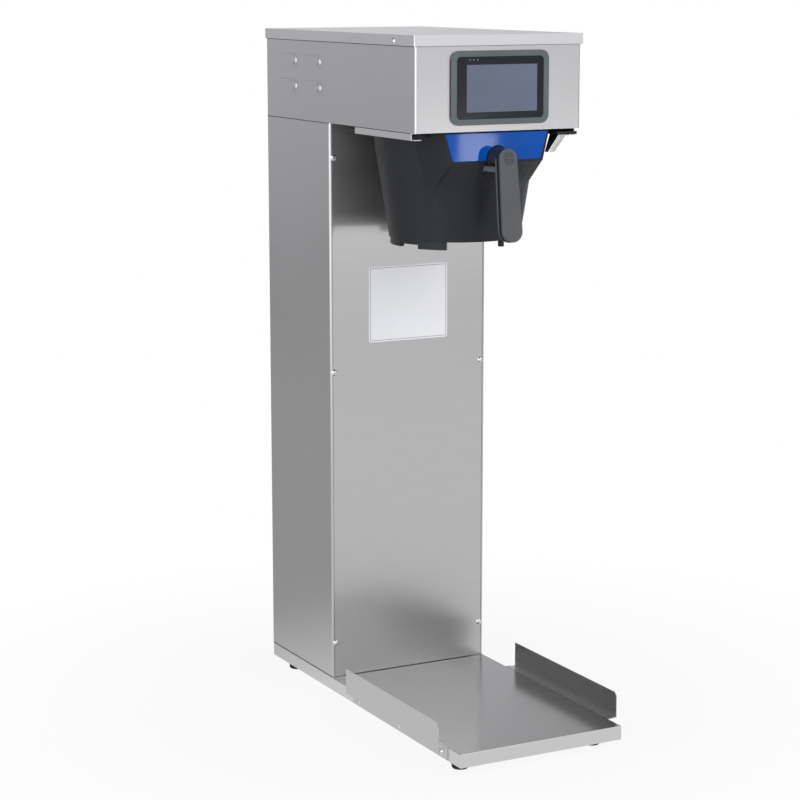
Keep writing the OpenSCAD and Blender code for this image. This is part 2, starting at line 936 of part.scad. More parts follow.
// The perforated disc that wets the tea
module spray_head() {
  stem_z = hood_z + 2 * sheet;
  color("silver") difference() {
    union() {
      translate([0, basket_y, spray_z - spray_t])
        cylinder(r1 = spray_r - spray_edge, r2 = spray_r, h = spray_t);
      translate([0, basket_y, spray_z - join]) cylinder(r = stem_r, h = stem_h);
      translate([0, basket_y, stem_z + nut_gap]) cylinder(r = nut_r, h = nut_h, $fn = 6);
    }
    for (ring = [0 : spray_rings], i = [0 : max(6 * ring - 1, 0)]) {
      a = ring > 0 ? i * 60 / ring : 0;
      r = ring * spray_pitch;
      translate([r * cos(a), basket_y + r * sin(a), spray_z - spray_t - cut])
        cylinder(r = spray_hole_r, h = spray_t + 2 * cut);
    }
    translate([0, basket_y, stem_z + nut_h]) cylinder(d = tube_d + 2 * hole_gap, h = stem_h);
  }
}

// Tube from the brew valve to the spray head
module brew_tube() {
  color("gainsboro") tube([
    [valve_x, valve_y - valve_w / 2 - port_l, port_z], [valve_x, basket_y, port_z],
    [0, basket_y, port_z], [0, basket_y, hood_z + 2 * sheet + nut_h]
  ], tube_d);
}

// Tube from the dilution valve to its outlet over the basket
module dilution_tube() {
  color("gainsboro") tube([
    [-valve_x, valve_y - valve_w / 2 - port_l, port_z], [-valve_x, dilution_y, port_z],
    [-valve_x, dilution_y, hood_z]
  ], tube_d);
}

// Cold water from the inlet to the dilution valve
module dilution_feed() {
  color("gainsboro") tube([
    [inlet_x, riser_y, inlet_z + manifold.z / 2], [inlet_x, riser_y, port_z], [-valve_x, riser_y, port_z],
    [-valve_x, valve_y + valve_w / 2 + port_l, port_z]
  ], tube_d);
}

// A block of the tank's outline, grown on all four sides, from z0 to z1
module tank_block(grow, z0, z1) {
  w = tank_w / 2 + grow;
  d = tank_d / 2 + grow;
  block([-w, tank_y - d, z0], [w, tank_y + d, z1]);
}

// The tank: a steel box with a rim for its lid
module tank() {
  color("lightsteelblue") difference() {
    union() {
      tank_block(0, tank_z, tank_top);
      tank_block(tank_rim, tank_top - tank_t, tank_top);
    }
    tank_block(-tank_t, tank_z + tank_t, tank_top + cut);
    tank_bolt_holes();
    translate([0, drain_y, tank_z - cut]) cylinder(d = port_d, h = tank_t + 2 * cut);
  }
}

function tank_bolt_places() = [
  for (x = bolt_x, y = [-1, 1]) [x * (tank_w / 2 + bolt_in), tank_y + y * (tank_d / 2 + bolt_in)]
];

module tank_bolt_holes() {
  for (p = tank_bolt_places()) {
    translate([p.x, p.y, lid_z]) screw_hole(d = bolt_d, length = lid_t + gasket_t + tank_t + cut);
  }
}

module tank_gasket() {
  color("firebrick") difference() {
    tank_block(tank_rim, tank_top, tank_top + gasket_t);
    tank_block(0, tank_top - cut, tank_top + gasket_t + cut);
    tank_bolt_holes();
  }
}

module tank_lid() {
  color("lightsteelblue") difference() {
    tank_block(tank_rim, lid_z - lid_t, lid_z);
    tank_bolt_holes();
    for (s = [-1, 1]) {
      translate([heater_at.x + s * rod_gap, heater_at.y, lid_z]) screw_hole(d = rod_d, length = 2 * lid_t);
      translate([s * valve_x, valve_y, lid_z]) screw_hole(d = port_d, length = 2 * lid_t);
    }
    translate([probe_at.x, probe_at.y, lid_z]) screw_hole(d = probe_d, length = 2 * lid_t);
    translate([fill_at.x, fill_at.y, lid_z]) screw_hole(d = tube_d, length = 2 * lid_t);
  }
}

module tank_bolts() {
  grip = lid_t + gasket_t + tank_t;
  color("gray") for (p = tank_bolt_places()) translate([p.x, p.y, lid_z]) {
    cylinder(d = bolt_wide, h = bolt_head, $fn = 6);
    translate([0, 0, -grip - bolt_end]) cylinder(d = bolt_d, h = grip + bolt_end + join);
    translate([0, 0, -grip - bolt_nut]) cylinder(d = bolt_wide, h = bolt_nut, $fn = 6);
  }
}

// Insulation round the tank, below its rim
module tank_wrap() {
  high = tank_top - tank_t - rim_step;
  color("khaki") difference() {
    tank_block(seat_gap + wrap_t, tank_z, high);
    tank_block(seat_gap, tank_z - cut, high + cut);
  }
}

// The shelf across the column that carries the tank
module tank_shelf() {
  w = half_w - sheet;
  front = column_y + 2 * sheet + 3 * loose_gap;
  rear = riser_y - tube_d / 2 - loose_gap;
  color("silver") difference() {
    union() {
      block([-w, front, tank_z - shelf_t], [w, rear, tank_z]);
      for (side = [-1, 1]) {
        x = side < 0 ? -w : w - shelf_t;
        translate([x, front, tank_z - shelf_t - flange]) cube([shelf_t, rear - front, flange + shelf_t]);
      }
    }
    translate([0, drain_y, tank_z - 2 * shelf_t]) cylinder(d = tube_d + loose_gap, h = 3 * shelf_t);
    translate([loom_x, loom_y, tank_z - 2 * shelf_t]) cylinder(d = 2 * loom_r + loose_gap, h = 3 * shelf_t);
  }
}

// The immersion heater: a flange on the lid and a loop in the water
module heating_element() {
  bottom = tank_z + rod_up;
  color("sienna") translate(heater_at) {
    for (x = [-rod_gap, rod_gap]) {
      translate([x, 0, bottom]) cylinder(d = rod_d, h = lid_z + rod_end - bottom);
      translate([x, 0, lid_z]) cylinder(d = rod_nut[0], h = rod_nut[1], $fn = 6);
      translate([x, 0, bottom]) sphere(d = rod_d);
    }
    run([-rod_gap, 0, bottom], [rod_gap, 0, bottom], rod_d / 2);
  }
}

module temperature_probe() {
  color("gray") translate([probe_at.x, probe_at.y, 0]) {
    translate([0, 0, lid_z - probe_in]) cylinder(d = probe_d, h = probe_l);
    translate([0, 0, lid_z]) cylinder(d = probe_nut[0], h = probe_nut[1], $fn = 6);
  }
}

// The high-limit thermostat on the lid, with a bore for its reset button
module limit_thermostat() {
  bore_z = limit_h + button_out - button_l - reset_travel - seat_gap;
  color("ivory") translate([limit_at.x, limit_at.y, lid_z]) difference() {
    union() {
      cylinder(d = limit_d, h = limit_h);
      translate([-limit_tab.x / 2, -limit_tab.y / 2, 0]) cube(limit_tab);
    }
    translate([0, 0, bore_z]) cylinder(r = button_r + run_gap, h = limit_h);
  }
}

module reset_button() {
  color("red") translate([limit_at.x, limit_at.y, lid_z + limit_h - button_l + button_out]) {
    cylinder(r = button_r, h = button_l);
  }
}

// A solenoid valve standing on its base, with ports along y and a bore for its plunger
module solenoid_valve() {
  difference() {
    union() {
      translate([-valve_w / 2, -valve_w / 2, 0]) cube([valve_w, valve_w, valve_h]);
      for (s = [-1, 1]) {
        rotate([s * 90, 0, 0]) translate([0, s * valve_h / 2, valve_w / 2 - join])
          cylinder(r = port_r, h = port_l + join);
      }
      translate([0, 0, valve_h - join]) cylinder(r = coil_r, h = coil_h + join);
      translate([-coil_side.x / 2, -coil_side.y / 2, valve_h]) cube(coil_side);
      translate([0, 0, valve_h + coil_h]) cylinder(r = cap_r, h = cap_h);
    }
    translate([0, 0, valve_h / 2]) cylinder(r = core_r + run_gap, h = core_l + plunger_travel + seat_gap);
  }
}

module solenoid_plunger() {
  translate([0, 0, valve_h / 2]) cylinder(r = core_r, h = core_l);
}

module brew_valve() { color("black") translate([valve_x, valve_y, lid_z]) solenoid_valve(); }
module brew_plunger() { color("gray") translate([valve_x, valve_y, lid_z]) solenoid_plunger(); }
module dilution_valve() { color("black") translate([-valve_x, valve_y, lid_z]) solenoid_valve(); }
module dilution_plunger() { color("gray") translate([-valve_x, valve_y, lid_z]) solenoid_plunger(); }

module at_inlet_valve() {
  translate([inlet_valve_x, riser_y, inlet_z - valve_h / 2]) rotate([0, 0, 90]) children();
}

module inlet_valve() { color("black") at_inlet_valve() solenoid_valve(); }
module inlet_plunger() { color("gray") at_inlet_valve() solenoid_plunger(); }

// The water inlet: a flare thread outside the rear wall and a manifold inside
module inlet_fitting() {
  hex_t = inlet_hex[1];
  color("goldenrod") {
    on_rear(inlet_x, rear_y, inlet_z) cylinder(r = inlet_r + inlet_hex[0], h = hex_t, $fn = 6);
    on_rear(inlet_x, rear_y + hex_t - join, inlet_z) cylinder(r = inlet_r, h = inlet_reach - hex_t + join);
    run([inlet_x, riser_y, inlet_z], [inlet_x, rear_y + join, inlet_z], inlet_r + inlet_neck);
    translate([inlet_x, riser_y, inlet_z]) cube(manifold, center = true);
  }
}

module fill_tube() {
  out_x = inlet_valve_x + valve_w / 2 + port_l;
  color("gainsboro") tube([
    [out_x, riser_y, inlet_z], [fill_at.x, riser_y, inlet_z], [fill_at.x, riser_y, lid_z + fill_up],
    [fill_at.x, fill_at.y, lid_z + fill_up], [fill_at.x, fill_at.y, lid_z - fill_in]
  ], tube_d);
}

// The tank's drain, with its capped end behind the rear wall
module drain_tube() {
  color("gainsboro") {
    tube([[0, drain_y, tank_z], [0, drain_y, drain_z], [0, rear_y + drain_out, drain_z]], tube_d);
    on_rear(0, rear_y, drain_z) cylinder(d = tube_d + drain_collar[0], h = drain_collar[1]);
    on_rear(0, rear_y + drain_collar[1] - join, drain_z)
      cylinder(d = tube_d + drain_cap[0], h = drain_cap[1], $fn = 6);
  }
}

// The plate inside the column that carries the electrical parts
module component_panel() {
  w = half_w - sheet;
  color("silver") {
    block([-w, plate_y, plate_z], [w, plate_y + sheet, plate_z + plate_h]);
    for (side = [-1, 1]) {
      x = side < 0 ? -w : w - sheet;
      translate([x, plate_y, plate_z]) cube([sheet, flange, plate_h]);
    }
  }
}

module power_supply() {
  s = supply_size;
  color("gray") difference() {
    translate([supply_at.x, plate_y - s.y, plate_z + supply_at.y]) cube(s);
    for (i = [0 : supply_slots - 1]) {
      x = supply_at.x + supply_slot_at.x + i * supply_slot_pitch;
      translate([x, plate_y - s.y - cut, plate_z + supply_at.y + supply_slot_at.y])
        cube(supply_slot + [0, cut, 0]);
    }
  }
}

module heater_relay() {
  s = relay_size;
  color("dimgray") translate([relay_at.x, plate_y - s.y, plate_z + relay_at.y]) difference() {
    cube(s);
    for (i = [0 : relay_fins - 1]) {
      translate([relay_fin_side + i * relay_fin_pitch, -cut, -cut])
        cube([relay_fin[0], s.y - relay_fin[1] + cut, s.z + 2 * cut]);
    }
  }
}

module terminal_block() {
  s = block_size;
  color("ivory") translate([-s.x / 2, plate_y - s.y, plate_z + block_up]) difference() {
    cube(s);
    for (i = [0 : block_ways - 1]) {
      translate([block_way_side + i * block_way_pitch, -cut, block_way_up]) cube(block_way + [0, cut, 0]);
    }
  }
}

// The wire loom from the terminal block to the control board
module wire_harness() {
  low_y = plate_y - block_size.y / 2;
  z = plate_z + block_up + block_size.z / 2;
  back = board_y + board_t;
  color("black") tube([
    [block_size.x / 2, low_y, z], [loom_x, low_y, z], [loom_x, loom_y, z], [loom_x, loom_y, loom_z],
    [loom_x, back + loom_drop, loom_z], [loom_end_x, back + loom_drop, loom_z], [loom_end_x, back, loom_z]
  ], 2 * loom_r);
}

// The rocker switch's body in the rear wall
module power_switch() {
  w = switch_w / 2;
  h = switch_tall / 2;
  rim = switch_out;
  cavity_w = rocker_w / 2 + seat_gap;
  cavity_h = rocker_r + seat_gap;
  color("black") translate([switch_x, 0, switch_z]) difference() {
    union() {
      block([-w, rear_y - switch_deep, -h], [w, rear_y + join, h]);
      block([-w - rim, rear_y, -h - rim], [w + rim, rear_y + switch_out, h + rim]);
    }
    block([-cavity_w, rocker_y - cavity_h, -cavity_h], [cavity_w, rear_y + switch_out + cut, cavity_h]);
    run([-w + join, rocker_y, 0], [w - join, rocker_y, 0], rocker_pin + run_gap);
  }
}

module power_rocker() {
  edge = rocker_lift - rocker_face;
  pin_l = switch_w / 2 - 2 * join;
  color("darkslategray") translate([switch_x, rocker_y, switch_z]) rotate([rocker_tilt, 0, 0]) {
    along_x(-rocker_w / 2, rocker_w / 2) intersection() {
      circle(r = rocker_r);
      polygon([
        [-rocker_r, -rocker_r], [edge, -rocker_r], [edge - rocker_face, 0], [edge, rocker_r],
        [-rocker_r, rocker_r]
      ]);
    }
    run([-pin_l, 0, 0], [pin_l, 0, 0], rocker_pin);
  }
}

// The gland where the power cord enters
module cord_gland() {
  nut_t = gland_nut[1] - 1;
  dome_from = gland_nut[1] - 1;
  color("black") translate([gland_x, 0, gland_z]) difference() {
    union() {
      on_rear(0, rear_y, 0) cylinder(r = gland_r + gland_nut[0], h = gland_nut[1], $fn = 6);
      on_rear(0, rear_y + dome_from, 0)
        cylinder(r1 = gland_r + gland_nut[0] - gland_wall / 2, r2 = gland_r + gland_wall, h = gland_dome);
      on_rear(0, rear_y - gland_in, 0) cylinder(r = gland_r + gland_wall, h = gland_in + join);
      on_rear(0, inner_rear - nut_t, 0) cylinder(r = gland_r + gland_nut[0], h = nut_t, $fn = 6);
    }
    on_rear(0, rear_y - gland_in - cut, 0)
      cylinder(r = gland_r, h = gland_in + dome_from + gland_dome + 2 * cut);
  }
}

// The flat-fronted upper part of the basket, drawn inset by a wall
module prow(inset, front) {
  hull() {
    top = [rim_z - slice, prow_back_top, prow_top_w];
    low = [prow_mid_z + inset, prow_back_mid, prow_mid_w];
    for (level = [top, low]) {
      translate([0, 0, level[0]]) linear_extrude(slice) polygon([
        [-level[1].x + inset, level[1].y], [-level[2] + inset, -prow_reach + front],
        [level[2] - inset, -prow_reach + front], [level[1].x - inset, level[1].y]
      ]);
    }
  }
  prow_slope(inset, front);
}

// The slope under the prow: straight lines run from its flat front down to a round root on the tub.
// Both ends are sunk a little into what they meet.
module prow_slope(inset, front) {
  r = prow_low_r - inset - prow_sink;
  w = prow_mid_w - inset - prow_sink;
  back = [prow_back_mid.x - inset - prow_sink, prow_back_mid.y - prow_sink];
  step = (prow_edge_to - prow_edge_from) / prow_steps;
  n = prow_steps + 3;
  high = prow_mid_z + inset + slice / 2;
  top = concat(
    [[-back.x, back.y, high]],
    [for (i = [0 : prow_steps]) [w * (2 * i / prow_steps - 1), -prow_reach + front + prow_sink, high]],
    [[back.x, back.y, high]]
  );
  turns = concat(
    [prow_root_from], [for (i = [0 : prow_steps]) prow_edge_from + i * step], [-180 - prow_root_from]
  );
  root = [for (a = turns) [r * cos(a), r * sin(a), prow_low_z + inset]];
  polyhedron(
    points = concat(top, root),
    faces = concat(
      [[for (i = [n - 1 : -1 : 0]) i], [for (i = [0 : n - 1]) n + i], [n - 1, 0, n, 2 * n - 1]],
      [for (i = [0 : n - 2]) [i, i + 1, n + i]],
      [for (i = [0 : n - 2]) [i + 1, n + i + 1, n + i]]
    )
  );
}

// Outline of the insert, in x and z, grown by a gap
function corner(x, z, r, from, sweep) = [
  for (i = [0 : 6]) [x + r * cos(from + sweep * i / 6), z + r * sin(from + sweep * i / 6)]
];
function insert_outline(gap) = concat(
  [[-insert_top_w - gap, insert_top_z + gap * 2]],
  corner(-insert_low_w + insert_r, insert_low_z + insert_r, insert_r + gap, 190, 80),
  corner(insert_low_w - insert_r, insert_low_z + insert_r, insert_r + gap, 270, 80),
  [[insert_top_w + gap, insert_top_z + gap * 2]]
);

// Places for the screws that hold the handle, driven from inside the basket
module at_handle_screws() {
  for (side = [-1, 1]) {
    translate([side * handle_screw_x, prow_y + prow_wall, handle_screw_z]) rotate([-90, 0, 0]) children();
  }
}

module handle_screw_holes() {
  at_handle_screws() screw_hole(length = handle_screw_l + cut);
}

module handle_screws() {
  color("lightgray") at_handle_screws() screw(length = handle_screw_l);
}

// The brew basket: a tapered tub with lips for the rails and feet under its floor
module brew_basket() {
  color("darkslategray") difference() {
    union() {
      translate([0, basket_y, basket_z]) cylinder(r1 = basket_foot_r, r2 = basket_r, h = basket_h);
      translate([0, basket_y, 0]) prow(0, 0);
      block([-lip_x, lip_front, lip_z], [lip_x, lip_rear, lip_z + lip_t]);
      block([key_top[0] - key_side, key_y, lip_z], [lip_x, lip_front + join, lip_z + lip_t]);
      for (arc = skirt_arcs) {
        translate([0, basket_y, basket_z - arc[2]]) rotate([0, 0, arc[0]])
          rotate_extrude(angle = arc[1]) translate([skirt_r - skirt_wall + arc[3], 0])
            square([skirt_wall - 2 * arc[3], arc[2] + join]);
      }
      translate([0, basket_y, basket_z - spout_drop])
        cylinder(r = outlet_r + spout_wall, h = spout_drop + join);
    }
    translate([0, basket_y, floor_z])
      cylinder(r1 = basket_foot_r + basket_taper * floor_t - basket_wall,
        r2 = basket_r + basket_taper * cut - basket_wall, h = basket_h - floor_t + cut);
    translate([0, basket_y, 0]) prow_hollow();
    translate([0, basket_y, basket_z - spout_drop - cut])
      cylinder(r = outlet_r, h = spout_drop + floor_t + 2 * cut);
    along_y(prow_y - cut, prow_y + insert_deep) difference() {
      polygon(insert_outline(insert_gap));
      translate([0, arch_z]) circle(r = arch_r - insert_gap);
    }
    handle_screw_holes();
  }
}

module prow_hollow() {
  translate([0, 0, sliver]) prow(basket_wall, prow_wall);
}

// The coloured insert in the basket's front, cut away round the handle's neck
module basket_insert() {
  color("royalblue") along_y(prow_y - insert_proud, prow_y + insert_deep - sliver) difference() {
    polygon(insert_outline(0));
    translate([0, arch_z]) circle(r = arch_r);
  }
}

// Children in the grip's own frame: x across, y back from its front face, z along it
module in_grip() {
  translate([0, grip_top_y, grip_top_z]) rotate([-grip_lean, 0, 0]) children();
}

// The grip's outline: two circles and the straight sides that touch both
module stadium(inset) {
  r = [grip_top_w / 2 - inset, grip_low_w / 2 - inset];
  z = [-grip_top_w / 2, grip_low_w / 2 - grip_l];
  turn = asin((r[1] - r[0]) / (z[0] - z[1]));
  for (i = [0, 1]) translate([0, z[i]]) circle(r = r[i]);
  polygon([
    for (p = [[0, 1], [0, -1], [1, -1], [1, 1]])
      [p[1] * (r[p[0]] - sliver) * cos(turn), z[p[0]] + (r[p[0]] - sliver) * sin(turn)]
  ]);
}

// The foot of the neck: it fans out to the basket's sloping front
module neck_foot(front) {
  slope = (prow_reach - prow_low_r) / (prow_mid_z - prow_low_z);
  z = neck_foot_z;
  w = neck_foot_w;
  y = [for (level = z) prow_y - run_gap + slope * (prow_mid_z - level)];
  intersection() {
    along_x(-w[0], w[0]) polygon([[front, z[0]], [y[0], z[0]], [y[1], z[1]], [front, z[1]]]);
    translate([0, 0, z[0]]) linear_extrude(z[1] - z[0])
      polygon([[-w[0], y[0]], [w[0], y[0]], [w[1], front], [-w[1], front]]);
  }
}

// The handle's rear half, with the neck that meets the basket
module handle_back() {
  neck_l = prow_y - grip_top_y - grip_back + neck_in;
  color("black") difference() {
    union() {
      in_grip() intersection() {
        union() {
          along_y(grip_skin, grip_skin + grip_slot + join) stadium(grip_groove);
          along_y(grip_skin + grip_slot, grip_back + cut) stadium(0);
        }
        along_x(-grip_low_w, grip_low_w) polygon([
          [0, cut], [grip_back, cut], [grip_back, -grip_l * grip_slim], [grip_tip, -grip_l - cut],
          [0, -grip_l - cut]
        ]);
      }
      on_front(0, prow_y, arch_z) cylinder(r1 = neck_r, r2 = neck_tip_r, h = neck_l);
      neck_foot(prow_y - neck_l);
    }
    in_grip() along_y(-cut, grip_skin) stadium(-grip_clear);
    handle_screw_holes();
  }
}

// The handle's front plate, with a round mark near its top
module handle_front() {
  color("dimgray") in_grip() difference() {
    along_y(0, grip_skin) stadium(0);
    along_y(-cut, mark_deep) translate([0, -grip_top_w / 2]) difference() {
      circle(r = mark_r);
      square([mark_bar, 2 * mark_r + cut], center = true);
      square([2 * mark_r + cut, mark_bar], center = true);
    }
  }
}

// The wire liner that holds the paper filter off the wall
module filter_liner() {
  slope = (liner_top_r - liner_low_r) / liner_h;
  color("silver") translate([0, basket_y, floor_z]) {
    for (i = [0 : liner_ribs - 1]) rotate([0, 0, i * 360 / liner_ribs]) {
      translate([0, liner_bar / 2, 0]) rotate([90, 0, 0]) linear_extrude(liner_bar) polygon([
        [liner_low_r - liner_bar, 0], [liner_low_r, 0],
        [liner_top_r, liner_h], [liner_top_r - liner_bar, liner_h]
      ]);
    }
    for (k = [0 : liner_rings - 1]) {
      z = k * (liner_h - liner_bar) / (liner_rings - 1);
      translate([0, 0, z]) rotate_extrude() translate([liner_low_r + slope * z - 1.5 * liner_bar, 0])
        square([liner_bar, liner_bar]);
    }
  }
}

// The bent strap under the front end of the right lip
module basket_key() {
  low_z = lip_z - key_drop;
  face = [[key_low[0], low_z], [key_low[1], low_z], [key_top[1], lip_z], [key_top[0], lip_z]];
  edge = [key_t, 0];
  color("lightgray") {
    along_y(key_y, key_y + key_t) polygon(face);
    intersection() {
      along_y(key_y, key_y + key_deep) polygon([face[0], face[0] + edge, face[3] + edge, face[3]]);
      along_x(key_low[0] - cut, key_top[1] + cut) polygon([
        [key_y, lip_z], [key_y + key_deep, lip_z], [key_y + key_deep / 3, low_z], [key_y, low_z]
      ]);
    }
  }
}

base_tray();
bottom_plate();
feet();
guide_left();
guide_right();
guide_screws();
column_shell();
column_panel();
panel_screws();
label_plate();
hood_shell();
hood_floor();
rear_panel();
top_cover();
cover_screws();
screen_bezel();
screen_glass();
display_panel();
control_board();
rail_left();
rail_right();
rail_screws();
spray_head();
brew_tube();
dilution_tube();
dilution_feed();
tank();
tank_gasket();
tank_lid();
tank_bolts();
tank_wrap();
tank_shelf();
heating_element();
temperature_probe();
limit_thermostat();
reset_button();
brew_valve();
brew_plunger();
dilution_valve();
dilution_plunger();
inlet_valve();
inlet_plunger();
inlet_fitting();
fill_tube();
drain_tube();
component_panel();
power_supply();
heater_relay();
terminal_block();
wire_harness();
power_switch();
power_rocker();
cord_gland();
brew_basket();
basket_insert();
handle_back();
handle_front();
handle_screws();
filter_liner();
basket_key();
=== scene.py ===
"""The looks of the iced tea maker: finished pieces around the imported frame, lights and a camera."""

import json
import math

import bmesh
import bpy
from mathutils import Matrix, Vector

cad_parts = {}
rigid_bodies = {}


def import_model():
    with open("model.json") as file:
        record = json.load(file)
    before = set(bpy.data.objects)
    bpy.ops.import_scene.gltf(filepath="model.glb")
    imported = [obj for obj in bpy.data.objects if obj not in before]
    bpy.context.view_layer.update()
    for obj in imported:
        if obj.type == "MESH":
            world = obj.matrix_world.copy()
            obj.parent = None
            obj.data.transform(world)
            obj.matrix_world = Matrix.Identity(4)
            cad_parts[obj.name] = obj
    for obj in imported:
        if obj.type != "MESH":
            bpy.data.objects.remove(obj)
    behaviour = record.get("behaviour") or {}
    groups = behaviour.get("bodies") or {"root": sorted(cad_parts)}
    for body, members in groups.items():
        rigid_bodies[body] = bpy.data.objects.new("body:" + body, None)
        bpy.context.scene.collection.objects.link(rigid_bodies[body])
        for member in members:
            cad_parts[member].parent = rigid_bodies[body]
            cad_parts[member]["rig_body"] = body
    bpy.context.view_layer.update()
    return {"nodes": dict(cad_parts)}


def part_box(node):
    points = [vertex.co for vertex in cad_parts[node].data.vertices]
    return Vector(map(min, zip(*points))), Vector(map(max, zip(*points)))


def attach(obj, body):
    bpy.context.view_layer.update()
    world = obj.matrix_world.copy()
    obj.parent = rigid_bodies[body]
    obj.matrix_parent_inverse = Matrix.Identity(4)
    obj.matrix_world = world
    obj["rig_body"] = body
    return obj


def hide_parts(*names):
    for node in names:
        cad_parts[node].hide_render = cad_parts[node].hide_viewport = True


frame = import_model()

MM = 0.001

# How far a printed or see-through layer stands off the face that carries it
LAYER = 0.05 * MM

# Camera, solved from the photograph: place in metres, angles in degrees, lens and sensor in mm
CAMERA_AT = (-1.585185, -2.894220, 1.074831)
CAMERA_YAW = 27.8325
CAMERA_PITCH = -10.5289
CAMERA_ROLL = 0.04
CAMERA_LENS = 102.977
CAMERA_SENSOR = 36
# The farthest distance that the camera sees, in metres
CAMERA_REACH = 50

# Half the width of the hood and the column
BODY_HALF = 130 * MM

# Stage
FLOOR_RADIUS = 3.4
FLOOR_COLOUR = (0.80, 0.80, 0.80)

# Each range below holds two levels, and the two values of its measure that they belong to.
# The floor's whiteness to the camera, and its level in reflections, by distance in metres
FLOOR_WHITE = (0.90, 1.0, 0.35, 0.9)
FLOOR_MIRRORED = (0.82, 0.80, 0.30, 0.60)
# What is left of the mirrored level towards the rear, by Y in metres
FLOOR_BEHIND = (1.0, 0.55, 0.15, 0.6)
# The surround's level by the X of its direction: it rises to the right, and then falls
SKY_RISING = (0.38, 1.0, -0.5, 0.45)
SKY_FALLING = (1.0, 0.66, 0.46, 0.57)
# The same by Z, above and below the horizon, and by Y
SKY_ABOVE = (1.0, 0.45, 0.04, 0.32)
SKY_BELOW = (0.55, 1.0, -0.15, -0.03)
SKY_ONWARDS = (1.02, 1.38, -0.7, 0.5)
SKY_COLOUR = (0.97, 0.98, 1.0)
# A soft light in the surround, to the left of the camera: its direction, and its level by the
# cosine of the angle away from that
LEFT_GLOW = (-0.87, -0.49, 0.0)
LEFT_GLOW_RANGE = (0.0, 1.1, 0.5, 0.68)

# Soft rectangular lamps: place, aim and size in metres, and power in watts
LAMPS = {
    "key": ((1.6, -3.0, 2.6), (0, 0, 0.6), (3.2, 2.4), 46),
    "side": ((-3.2, -1.9, 1.1), (0, -0.1, 0.6), (0.9, 2.2), 15),
    "strip": ((1.50, -3.00, 0.55), (0, -0.2, 0.83), (0.24, 0.24), 1.6),
}


# Small helpers for node trees

def add(tree, kind, inputs=None, **settings):
    """Adds a node, sets its properties, and sets or links its inputs."""
    item = tree.nodes.new(kind)
    for key, value in settings.items():
        setattr(item, key, value)
    for key, value in (inputs or {}).items():
        if isinstance(value, bpy.types.NodeSocket):
            tree.links.new(value, item.inputs[key])
        else:
            item.inputs[key].default_value = value
    return item


def principled(name, colour, roughness, metallic=0.0, **more):
    """A material with a bare Principled shader. Returns the material, its tree and the shader."""
    material = bpy.data.materials.new(name)
    material.use_nodes = True
    tree = material.node_tree
    shader = tree.nodes["Principled BSDF"]
    shader.inputs["Base Color"].default_value = (*colour, 1)
    shader.inputs["Roughness"].default_value = roughness
    shader.inputs["Metallic"].default_value = metallic
    for key, value in more.items():
        shader.inputs[key.replace("_", " ")].default_value = value
    return material, tree, shader


def noise(tree, scale, detail=3.0, roughness=0.55, stretch=(1, 1, 1), grained=False):
    """Noise in metres, in the object's own space or along its grain map. scale is in waves per
    metre, before the stretch."""
    if grained:
        place = add(tree, "ShaderNodeUVMap", uv_map="grain").outputs["UV"]
    else:
        place = add(tree, "ShaderNodeTexCoord").outputs["Object"]
    mapped = add(tree, "ShaderNodeMapping", {"Vector": place, "Scale": stretch})
    inputs = {"Vector": mapped.outputs["Vector"], "Scale": scale, "Detail": detail,
              "Roughness": roughness}
    return add(tree, "ShaderNodeTexNoise", inputs).outputs["Fac"]


def remap(tree, value, low, high, start=0.3, end=0.7):
    """Turns start to end into low to high, and holds the level beyond both."""
    inputs = {"Value": value, "From Min": start, "From Max": end, "To Min": low, "To Max": high}
    return add(tree, "ShaderNodeMapRange", inputs).outputs["Result"]


def tint(tree, value, dark, light, start=0.3, end=0.7):
    """A colour that runs from dark to light with a noise value."""
    ramp = add(tree, "ShaderNodeValToRGB", {"Fac": value})
    ramp.color_ramp.elements[0].position = start
    ramp.color_ramp.elements[0].color = (*dark, 1)
    ramp.color_ramp.elements[1].position = end
    ramp.color_ramp.elements[1].color = (*light, 1)
    return ramp.outputs["Color"]


def maths(tree, operation, first, second):
    """The result of a sum on two values."""
    return add(tree, "ShaderNodeMath", {0: first, 1: second}, operation=operation).outputs[0]


def link(tree, output, shader, name):
    """Feeds an output into a named input of the shader."""
    tree.links.new(output, shader.inputs[name])


def bump(tree, shader, height, distance, strength):
    """Relief from a height value. distance is its full depth in metres."""
    made = add(tree, "ShaderNodeBump", {"Height": height, "Distance": distance, "Strength": strength})
    link(tree, made.outputs["Normal"], shader, "Normal")


def scaled(colour, factor):
    """A colour made lighter or darker, up to full white."""
    return tuple(min(1.0, c * factor) for c in colour)


# Materials

# Brushing: the noise's scale along and across the grain map, its fine and coarse lines and its
# clouds per metre
GRAIN = (0.012, 1.0, 1.0)
BRUSH_FINE = 2600
BRUSH_COARSE = 420
BRUSH_CLOUDS = 5.5
# How much the lines change the colour, and lines and clouds the roughness. Depth in metres
BRUSH_DARK = 0.975
BRUSH_LIGHT = 1.02
BRUSH_STREAK = 0.015
BRUSH_CLOUD = 0.02
BRUSH_DEPTH = 0.000004


